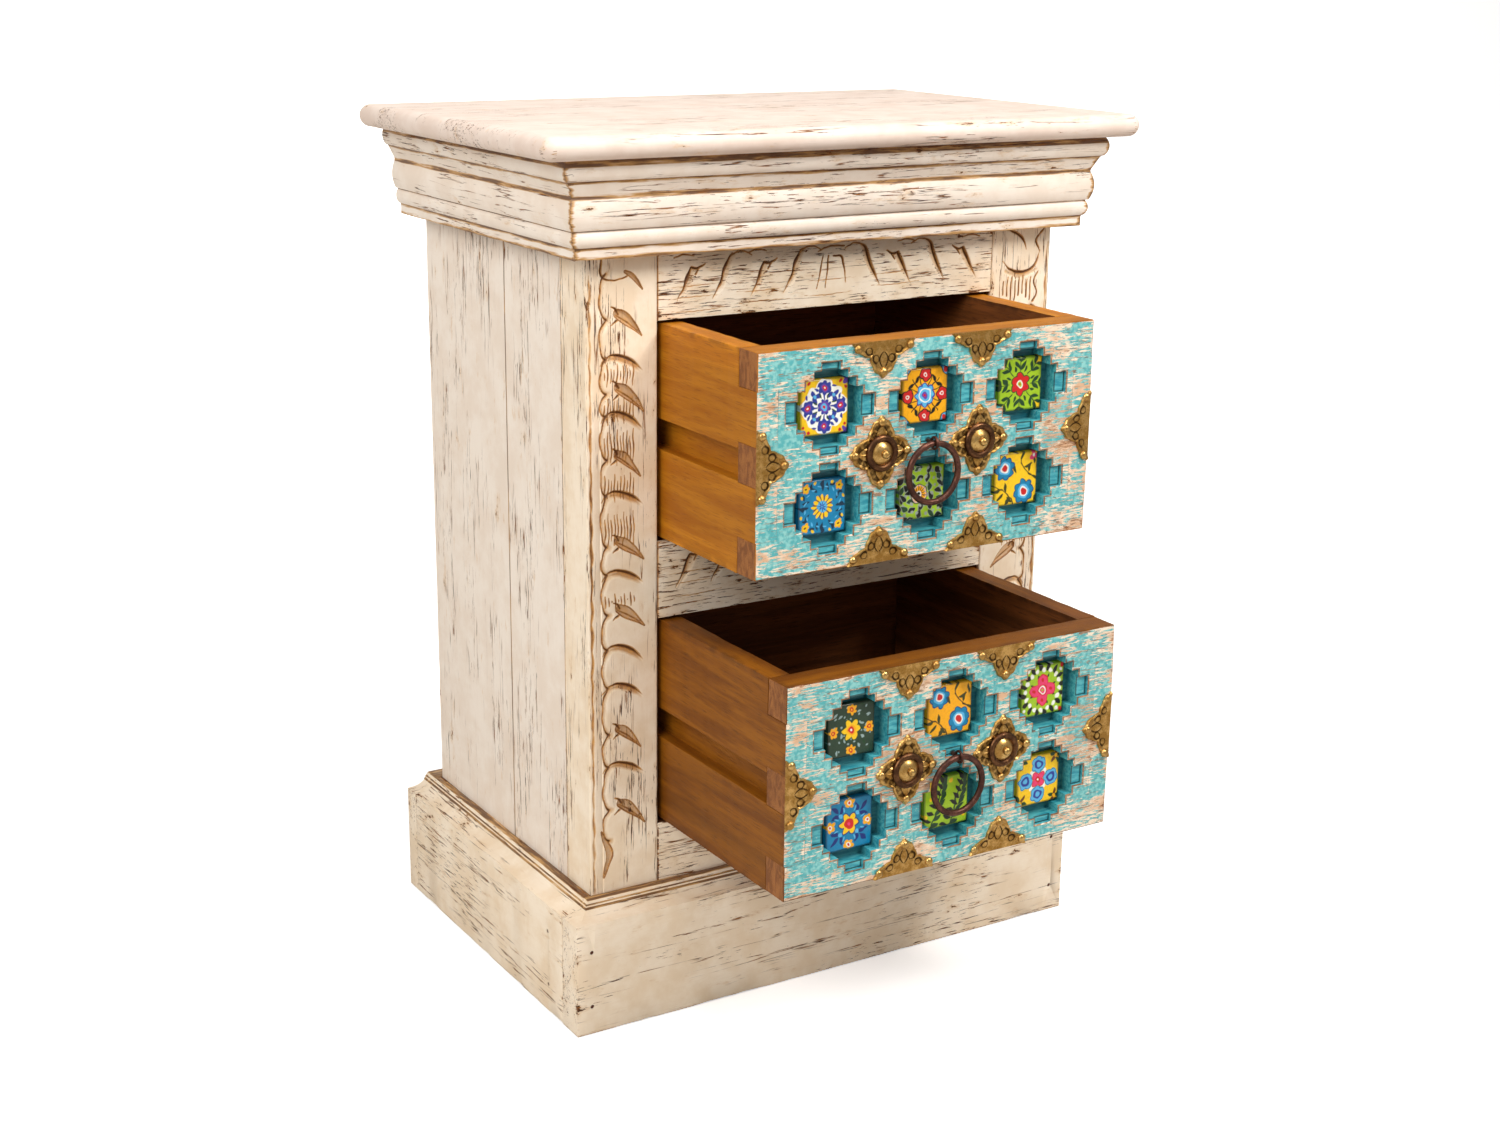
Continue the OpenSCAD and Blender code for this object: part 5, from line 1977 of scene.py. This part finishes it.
def paint_leaf_spray(hand: Hand) -> None:
    """Lime ground with sprays of dark leaves.

    Args:
        hand: The painter's hand.
    """
    hand.petal(-19, 13, 20, 12, 7, YELLOW)
    for chain, bow in ((((-16, -22), (-8, -8), (-7, 6), (-2, 20)), 3),
                       (((2, -22), (8, -12), (9, 2), (16, 18)), 4)):
        hand.stem(chain, 1.3, LEAF)
        for index in range(9):
            share = index / 8
            x = chain[0][0] + (chain[3][0] - chain[0][0]) * share + bow * math.sin(share * 3.1)
            y = -20 + 40 * share
            hand.petal(x, y, 20 + 8 * index, 10, 3.6, LEAF, 1.0)
            hand.petal(x, y, 165 - 6 * index, 9, 3.2, BLACK, 1.0)
    for x, y in ((-14, 4), (17, -14), (-19, -10), (4, 16)):
        hand.dot(x, y, 1.8, YELLOW)


def paint_blue_cross(hand: Hand) -> None:
    """Yellow ground with four blue flowers set in a cross.

    Args:
        hand: The painter's hand.
    """
    for across, up in CORNERS:
        x, y = 17 * across, 17 * up
        for turn in (0, 70, 140, 210, 280):
            hand.petal(x, y, turn + x, 7, 3.0, BROWN if turn % 140 else LEAF, 0.9)
        hand.dot(x, y, 1.6, ORANGE)
    hand.flower(0, 0, 45, 4, 11, 4.5, WHITE)
    hand.around(4, 0, 12.4, hand.flower, 0, 6, 6.6, 5.8, SKY, ((4.0, COBALT), (2.2, SKY)), AZURE)
    hand.flower(0, 0, 45, 4, 7.0, 4.6, PINK, ((2.6, RED), (1.0, WHITE)), RED)


@dataclass(frozen=True)
class Tile:
    """A glazed tile with its own painting."""

    node: str
    slot: str
    body: str
    ground: Colour
    paint: Callable[[Hand], None]
    cells: int = 132

    def build(self) -> bpy.types.Object:
        """Makes the tile.

        Returns:
            The object.
        """
        low, high = node_box(self.node)
        size = high.x - low.x
        bm = bmesh.new()
        bmesh.ops.create_grid(bm, x_segments=self.cells, y_segments=self.cells, size=0.5)
        middle = (low + high) / 2
        for vert in bm.verts:
            vert.co = Vector((middle.x + vert.co.x * size, low.y, middle.z + vert.co.y * size))
        close_back(bm, (high.y,))
        bmesh.ops.recalc_face_normals(bm, faces=bm.faces)
        spots = np.array([v.co[:] for v in bm.verts])
        x, y = spots[:, 0] - middle.x, spots[:, 2] - middle.z
        hand = Hand(x, y, self.ground)
        self.paint(hand)
        rim = size / 2 - np.maximum(np.abs(x), np.abs(y))
        sag = 0.8 * ridge(rim, 1.6) ** 2 + 0.12 * (1 + np.sin(x * 0.3 + y * 0.2))
        for vert, drop in zip(bm.verts, sag):
            if vert.co.y < middle.y:
                vert.co.y += drop
        layer = bm.verts.layers.float_color.new("paint")
        for vert, colour in zip(bm.verts, hand.colour):
            vert[layer] = colour
        piece = Piece(self.node + "_glaze", (self.node,), self.slot, self.body, (GLAZE,))
        return piece.finish(bm, 50.0)


@dataclass(frozen=True)
class Drawer:
    """One drawer: its boards, tiles, brass and ring pull."""

    name: str
    paintings: tuple[tuple[str, str, Colour, Callable[[Hand], None]], ...]
    nail_inset: float = 4.5
    plate_t: float = 1.0
    depth_of_recess: float = 14.0

    @property
    def body(self) -> str:
        """Name of the body that the drawer's pieces ride on."""
        return self.name + "_drawer"

    def put(self, bm: Mesh, label: str, node: str, slot: str, finish: Finish, smooth: float) -> None:
        """Finishes a piece of the drawer's metalwork.

        Args:
            bm: Its mesh.
            label: End of the piece's name.
            node: End of the name of the CAD node that it replaces.
            slot: Its slot.
            finish: Its finish.
            smooth: Angle in degrees below which edges are shaded smooth.
        """
        Piece(self.name + label, (self.name + node,), slot, self.body, (finish,)).finish(bm, smooth)

    def face(self) -> tuple[FaceFrame, float, float]:
        """Gives the face's frame, half its width and half its height.

        Returns:
            The frame and the two sizes.
        """
        low, high = node_box(self.name + "_front")
        return FaceFrame(low.y, (low.z + high.z) / 2), high.x, (high.z - low.z) / 2

    def build(self) -> None:
        """Makes all the drawer's pieces."""
        self.build_boards()
        for suffix, slot, ground, paint in self.paintings:
            Tile(self.name + "_tile_" + suffix, slot, self.body, ground, paint).build()
        self.build_plates()
        self.build_nails()
        self.build_bosses()
        self.build_ring()

    def build_boards(self) -> None:
        """Makes the drawer's wooden boards; the lower drawer's wood is darker as painted shade, and the inner
        faces take dark wood as painted shade.
        """
        # The lower drawer takes the darker copy of the honey wood as painted shade
        drawer_wood = HONEY if self.name == "upper" else SHADED_HONEY
        low, high = node_box(self.name + "_front")

        def front(centre: Vector, normal: Vector) -> int:
            """Chooses the finish of a face of the drawer's front; its inner face takes dark wood as painted
            shade.
            """
            deep = centre.y - low.y
            edge = min(centre.x - low.x, high.x - centre.x, centre.z - low.z, high.z - centre.z)
            if edge < 0.7 or deep > self.depth_of_recess + 0.5:
                return 4 if normal.y > 0.7 else 3 if abs(normal.x) > 0.5 else 2
            return 0 if deep < 0.6 or (edge < 2 and deep < 2) else 1

        def lining(centre: Vector, normal: Vector) -> int:
            """Chooses the finish of a face of the drawer's sides; their inner faces take dark wood as painted
            shade.
            """
            inner = centre.x * normal.x < 0 and abs(normal.x) > 0.7
            return 1 if normal.y < -0.7 and centre.y < low.y + 0.6 else 2 if inner else 0

        Board(self.name + "_front", Axis.X, "turquoise_wood", self.body, wear=0.4, round_by=0.9, depth=0.5,
              spacing=7.0).build((TURQUOISE, POCKET, drawer_wood[Axis.X], END, DARK[Axis.X]), front)
        for side in ("left", "right"):
            node = self.name + "_side_" + side
            Board(node, Axis.Y, "honey_wood", self.body, wear=0.2, round_by=0.6, depth=0.5,
                  spacing=8.0).build((drawer_wood[Axis.Y], TURQUOISE, DARK[Axis.Y]), lining)
        # The back's inner face takes dark wood as painted shade
        Board(self.name + "_back", Axis.X, "honey_wood", self.body, wear=0.2, round_by=0.6, depth=0.4,
              spacing=12.0).build((drawer_wood[Axis.X], DARK[Axis.X]), lambda centre, normal: int(normal.y < -0.7))
        Board(self.name + "_bottom", Axis.X, "dark_wood", self.body, wear=0.1, round_by=0.4, depth=0.3,
              spacing=12.0).build((DARK[Axis.X],), lambda centre, normal: 0)

    def edge_places(self, half_width: float, half_height: float) -> list[tuple[float, float, float]]:
        """Gives the places of the half plates.

        Args:
            half_width: Half the face's width.
            half_height: Half the face's height.

        Returns:
            Place across, place up and turn in degrees of each.
        """
        places = [(x, up, turn) for x in COLUMNS for up, turn in ((half_height, 0.0), (-half_height, 180.0))]
        return places + [(-half_width, 0.0, 90.0), (half_width, 0.0, -90.0)]

    def build_plates(self) -> None:
        """Makes the pressed brass plates."""
        face, half_width, half_height = self.face()
        whole = [(x, 0.0, 0.0) for x in COLUMNS]
        halves = self.edge_places(half_width, half_height)
        for label, node, relief, places in (
                ("_medallion_reliefs", "_medallions", PlateRelief(), whole),
                ("_edge_reliefs", "_edge_plates", PlateRelief(plain=True), halves)):
            bm = bmesh.new()
            for x, up, turn in places:
                relief.add(bm, face.matrix(x, up, 0.0, turn), relief.plain)
            self.put(bm, label, node, "brass", BRASS, 35.0)

    def build_nails(self) -> None:
        """Makes the domed nail heads."""
        face, half_width, half_height = self.face()
        places = [face.matrix(x) @ Matrix.Rotation(math.radians(a), 4, "Z")
                  @ Matrix.Translation((NAIL_OUT, 0, self.plate_t))
                  for x in COLUMNS for a in (0, 90, 180, 270)]
        for x, up, turn in self.edge_places(half_width, half_height):
            for across, down in ((-NAIL_OUT, self.nail_inset), (0.0, NAIL_OUT),
                                 (NAIL_OUT, self.nail_inset)):
                places.append(face.matrix(x, up, 0.0, turn)
                              @ Matrix.Translation((across, -down, self.plate_t)))
        bm = bmesh.new()
        for index, place in enumerate(places):
            radius = 3.35 + 0.15 * math.sin(index * 2.3)
            profile = [(0.0, 2.4), (radius * 0.32, 2.28), (radius * 0.6, 1.92), (radius * 0.84, 1.25),
                       (radius, 0.3), (radius * 0.96, -0.15)]
            made = lathe(bm, profile, 16)
            bmesh.ops.transform(bm, matrix=place, verts=made)
        bmesh.ops.recalc_face_normals(bm, faces=bm.faces)
        self.put(bm, "_nail_heads", "_nails", "brass", STUD_BRASS, 60.0)

    def build_bosses(self) -> None:
        """Makes the browned washers and the brass domes in them."""
        face, _, _ = self.face()
        rim = [(6.0, 0.4), (8.9, 1.5), (9.3, 2.35), (10.2, 2.95), (11.2, 3.2), (12.3, 3.1), (13.3, 2.4),
               (14.0, 1.2), (13.8, 0.0)]
        dome = [(0.0, 8.4), (1.5, 8.15), (2.7, 7.3), (3.3, 6.1), (3.2, 5.1), (2.6, 4.75), (3.6, 4.6),
                (5.6, 4.0), (7.2, 3.0), (8.4, 1.8), (8.8, 1.5)]
        for part, profile, slot, finish in (("washers", rim, "iron", BRONZE),
                                            ("domes", dome, "brass", STUD_BRASS)):
            bm = bmesh.new()
            for x in COLUMNS:
                made = lathe(bm, profile, 48)
                bmesh.ops.transform(bm, matrix=face.matrix(x, 0.0, self.plate_t), verts=made)
            bmesh.ops.recalc_face_normals(bm, faces=bm.faces)
            self.put(bm, "_turned_" + part, "_" + part, slot, finish, 40.0)

    def build_ring(self) -> None:
        """Makes the forged ring pull; the staple keeps its CAD shape."""
        low, high = node_box(self.name + "_ring")
        middle = (low + high) / 2
        wire = (high.y - low.y) / 2
        radius = (high.x - low.x) / 2 - wire
        bm = bmesh.new()
        profile = [(radius + wire * math.cos(math.tau * i / 20), wire * math.sin(math.tau * i / 20))
                   for i in range(21)]
        made = lathe(bm, profile, 96)
        for vert in made:
            ring_place = Vector((vert.co.x, vert.co.y, 0)).normalized() * radius
            dents = 0.07 * max(0.0, noise.noise(vert.co * 0.28)) + 0.03 * abs(noise.noise(vert.co * 0.9))
            vert.co = ring_place + (vert.co - ring_place) * (1 - dents)
        place = Matrix.Translation(middle) @ Matrix.Rotation(math.radians(90), 4, "X")
        bmesh.ops.transform(bm, matrix=place, verts=made)
        bmesh.ops.recalc_face_normals(bm, faces=bm.faces)
        Piece(self.name + "_forged_ring", (self.name + "_ring",), "iron", self.name + "_ring_pull",
              (IRON,)).finish(bm, 50.0)
        dress(self.name + "_staple", IRON)


def dress(node: str, finish: Finish) -> None:
    """Gives a CAD node a finish and leaves its shape alone.

    Args:
        node: Name of the node.
        finish: Its finish.
    """
    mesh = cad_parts[node].data
    mesh.materials.clear()
    mesh.materials.append(finish.material())
    mesh.shade_smooth()
    mesh.set_sharp_from_angle(angle=math.radians(40))


@dataclass(frozen=True)
class Cabinet:
    """The fixed part: carved front frame, side panels, top board, cornice and plinth."""

    def interior(self) -> Interior:
        """Gives the cabinet's hollow.

        Returns:
            The hollow.
        """
        rail_low, rail_high = node_box("rail_middle")
        panel_low, _ = node_box("side_panel_right")
        back_low, _ = node_box("back_panel")
        return Interior(panel_low.x, rail_high.y, back_low.y, rail_high.x, rail_low.y)

    def build(self) -> None:
        """Makes all the cabinet's pieces."""
        interior = self.interior()

        def painted(centre: Vector, normal: Vector) -> int:
            """Chooses paint, or the dark wood of the hollow."""
            return int(interior.holds(centre, normal))

        for node, axis, wear in (
                ("top_board", Axis.X, 0.1), ("cornice_front", Axis.X, 0.34), ("cornice_left", Axis.Y, 0.2),
                ("cornice_right", Axis.Y, 0.3), ("plinth_front", Axis.X, 0.34), ("plinth_left", Axis.Y, 0.24),
                ("plinth_right", Axis.Y, 0.25), ("plinth_back", Axis.X, 0.25)):
            moulded = node != "top_board"
            smooth = 26.0 if moulded else 30.0
            paint = CREAM[axis] if node.startswith("cornice") else AGED[axis] if moulded else TOP
            board = Board(node, axis, wear=wear, round_by=1.3, depth=0.8, spacing=8.0, smooth=smooth,
                          least=24.0,
                          moulded=moulded)
            board.build((paint,), lambda centre, normal: 0)
        for node in ("side_panel_left", "side_panel_right"):
            Board(node, Axis.Z, wear=0.16, depth=0.3, joint=PLANK_JOINT).build(
                (CREAM[Axis.Z], DARK[Axis.Z]), painted)
        Board("back_panel", Axis.Z, wear=0.2).build((CREAM[Axis.Z], DARK[Axis.Z]), painted)
        Board("rail_bottom", Axis.X, wear=0.5).build((AGED[Axis.X], DARK[Axis.X]), painted)
        for node in ("floor_panel", "upper_runners", "lower_runners", "glue_blocks"):
            Board(node, Axis.Y, "dark_wood", wear=0.1, spacing=20.0).build(
                (DARK[Axis.Y],), lambda centre, normal: 0)
        self.build_frame(interior)
        dress("top_screws", IRON)
        dress("plinth_nails", IRON)

    def build_frame(self, interior: Interior) -> None:
        """Makes the carved stiles and rails.

        Args:
            interior: The cabinet's hollow.
        """
        cornice_low, _ = node_box("cornice_front")
        _, plinth_high = node_box("plinth_front")
        top, foot = cornice_low.z, plinth_high.z
        strokes = tuple(stile_strokes())
        CarvedPanel("stile_left", Axis.Z, 0.2, top, foot, strokes).build(interior)
        strokes = tuple(cup_strokes() + stile_strokes(66.0))
        CarvedPanel("stile_right", Axis.Z, 0.3, top, foot, strokes, True).build(interior)
        low, high = node_box("rail_top")
        across = tuple(rail_strokes(high.x - low.x))
        CarvedPanel("rail_top", Axis.X, 0.75, top, low.z, across).build(interior)
        low, high = node_box("rail_middle")
        CarvedPanel("rail_middle", Axis.X, 0.8, high.z, low.z, across).build(interior)


@dataclass(frozen=True)
class Photograph:
    """Camera, lights and floor."""

    place: tuple[float, float, float] = (-0.9269, -1.7028, 0.8276)
    azimuth: float = 31.53
    elevation: float = 16.01
    roll: float = 0.67
    lens: float = 51.6

    def build(self) -> None:
        """Sets up the floor, the lights, the world and the camera."""
        bpy.context.scene.view_settings.view_transform = "Standard"
        self.build_floor()
        self.build_lights()
        self.build_camera()

    def build_floor(self) -> None:
        """Lays a pale floor that sweeps up behind the object."""
        bm = bmesh.new()
        bmesh.ops.create_grid(bm, x_segments=24, y_segments=24, size=6.0)
        for vert in bm.verts:
            behind = max(0.0, vert.co.y - 2.0)
            vert.co.z = 0.35 * behind * behind - 0.0005
        mesh = bpy.data.meshes.new("studio_floor")
        bm.to_mesh(mesh)
        bm.free()
        mesh.shade_smooth()
        mesh.materials.append(Studio("studio_floor").material())
        add_object("studio_floor", mesh)

    def build_lights(self) -> None:
        """Hangs soft lights at the front right, the left and overhead, and one on the backdrop."""
        world = bpy.data.worlds.new("studio")
        world.use_nodes = True
        backdrop = world.node_tree.nodes["Background"]
        backdrop.inputs[0].default_value = (1.0, 0.99, 0.98, 1.0)
        # The camera sees it white past the floor's edge, while it lights the piece only softly
        graph = Graph(world.node_tree)
        seen = graph.node("ShaderNodeLightPath").outputs["Is Camera Ray"]
        graph.feed(backdrop.inputs[1], graph.add(graph.mul(seen, 0.6), 0.42))
        bpy.context.scene.world = world
        middle = (0.0, -0.25, 0.4)
        for name, spot, aim, size, power in (
                ("key", (0.95, -1.85, 2.0), middle, 0.6, 31.0),
                ("fill", (-2.0, -1.3, 1.9), middle, 1.4, 39.0),
                ("top", (0.1, -1.0, 2.3), middle, 1.1, 18.0),
                ("backdrop", (0.6, 1.6, 3.2), (0.6, 4.6, 1.6), 3.0, 150.0)):
            lamp = bpy.data.lights.new(name, "AREA")
            lamp.energy, lamp.size = power, size
            lamp.color = (1.0, 0.98, 0.96)
            made = add_object(name, lamp)
            made.location = spot
            made.rotation_mode = "QUATERNION"
            made.rotation_quaternion = (Vector(aim) - Vector(spot)).to_track_quat("-Z", "Y")

    def build_camera(self) -> None:
        """Sets the camera where the photograph was taken from."""
        azimuth, elevation, roll = (math.radians(a) for a in (self.azimuth, self.elevation, self.roll))
        back = Vector((-math.sin(azimuth) * math.cos(elevation), -math.cos(azimuth) * math.cos(elevation),
                       math.sin(elevation)))
        right = (-back).cross(Vector((0, 0, 1))).normalized()
        up = right.cross(-back)
        rolled_right = right * math.cos(roll) + up * math.sin(roll)
        rolled_up = up * math.cos(roll) - right * math.sin(roll)
        lens = bpy.data.cameras.new("camera")
        lens.lens = self.lens
        lens.clip_start, lens.clip_end = 0.05, 50.0
        camera = add_object("camera", lens)
        turned = Matrix((rolled_right, rolled_up, back)).transposed().to_4x4()
        camera.matrix_world = Matrix.Translation(self.place) @ turned
        bpy.context.scene.camera = camera


def drawers() -> list[Drawer]:
    """Lists the two drawers with the paintings of their tiles.

    Returns:
        The drawers.
    """
    upper = (("top_left", "yellow_glaze", YELLOW, paint_white_star),
             ("top_middle", "orange_glaze", ORANGE, paint_red_buds),
             ("top_right", "lime_glaze", LIME, paint_red_daisy),
             ("bottom_left", "blue_glaze", AZURE, paint_sunburst),
             ("bottom_middle", "lime_glaze", LIME, paint_striped_shell),
             ("bottom_right", "yellow_glaze", YELLOW,
              lambda hand: paint_two_blue(hand, ((-11, 9, 9.0), (8, -11, 9.5)), (17, 17))))
    lower = (("top_left", "green_glaze", BOTTLE, paint_green_night),
             ("top_middle", "orange_glaze", ORANGE,
              lambda hand: paint_two_blue(hand, ((-10, 11, 8.5), (9, -9, 9.5)), None)),
             ("top_right", "lime_glaze", LIME, paint_pink_cross),
             ("bottom_left", "blue_glaze", AZURE, paint_blue_star),
             ("bottom_middle", "lime_glaze", LIME, paint_leaf_spray),
             ("bottom_right", "yellow_glaze", YELLOW, paint_blue_cross))
    return [Drawer("upper", upper), Drawer("lower", lower)]


def main() -> None:
    """Builds every piece in order."""
    logging.basicConfig(level=logging.INFO, format="%(message)s")
    LOG.info("cabinet")
    Cabinet().build()
    for drawer in drawers():
        LOG.info("%s drawer", drawer.name)
        drawer.build()
    LOG.info("camera, lights and floor")
    Photograph().build()


if __name__ == "__main__":
    main()
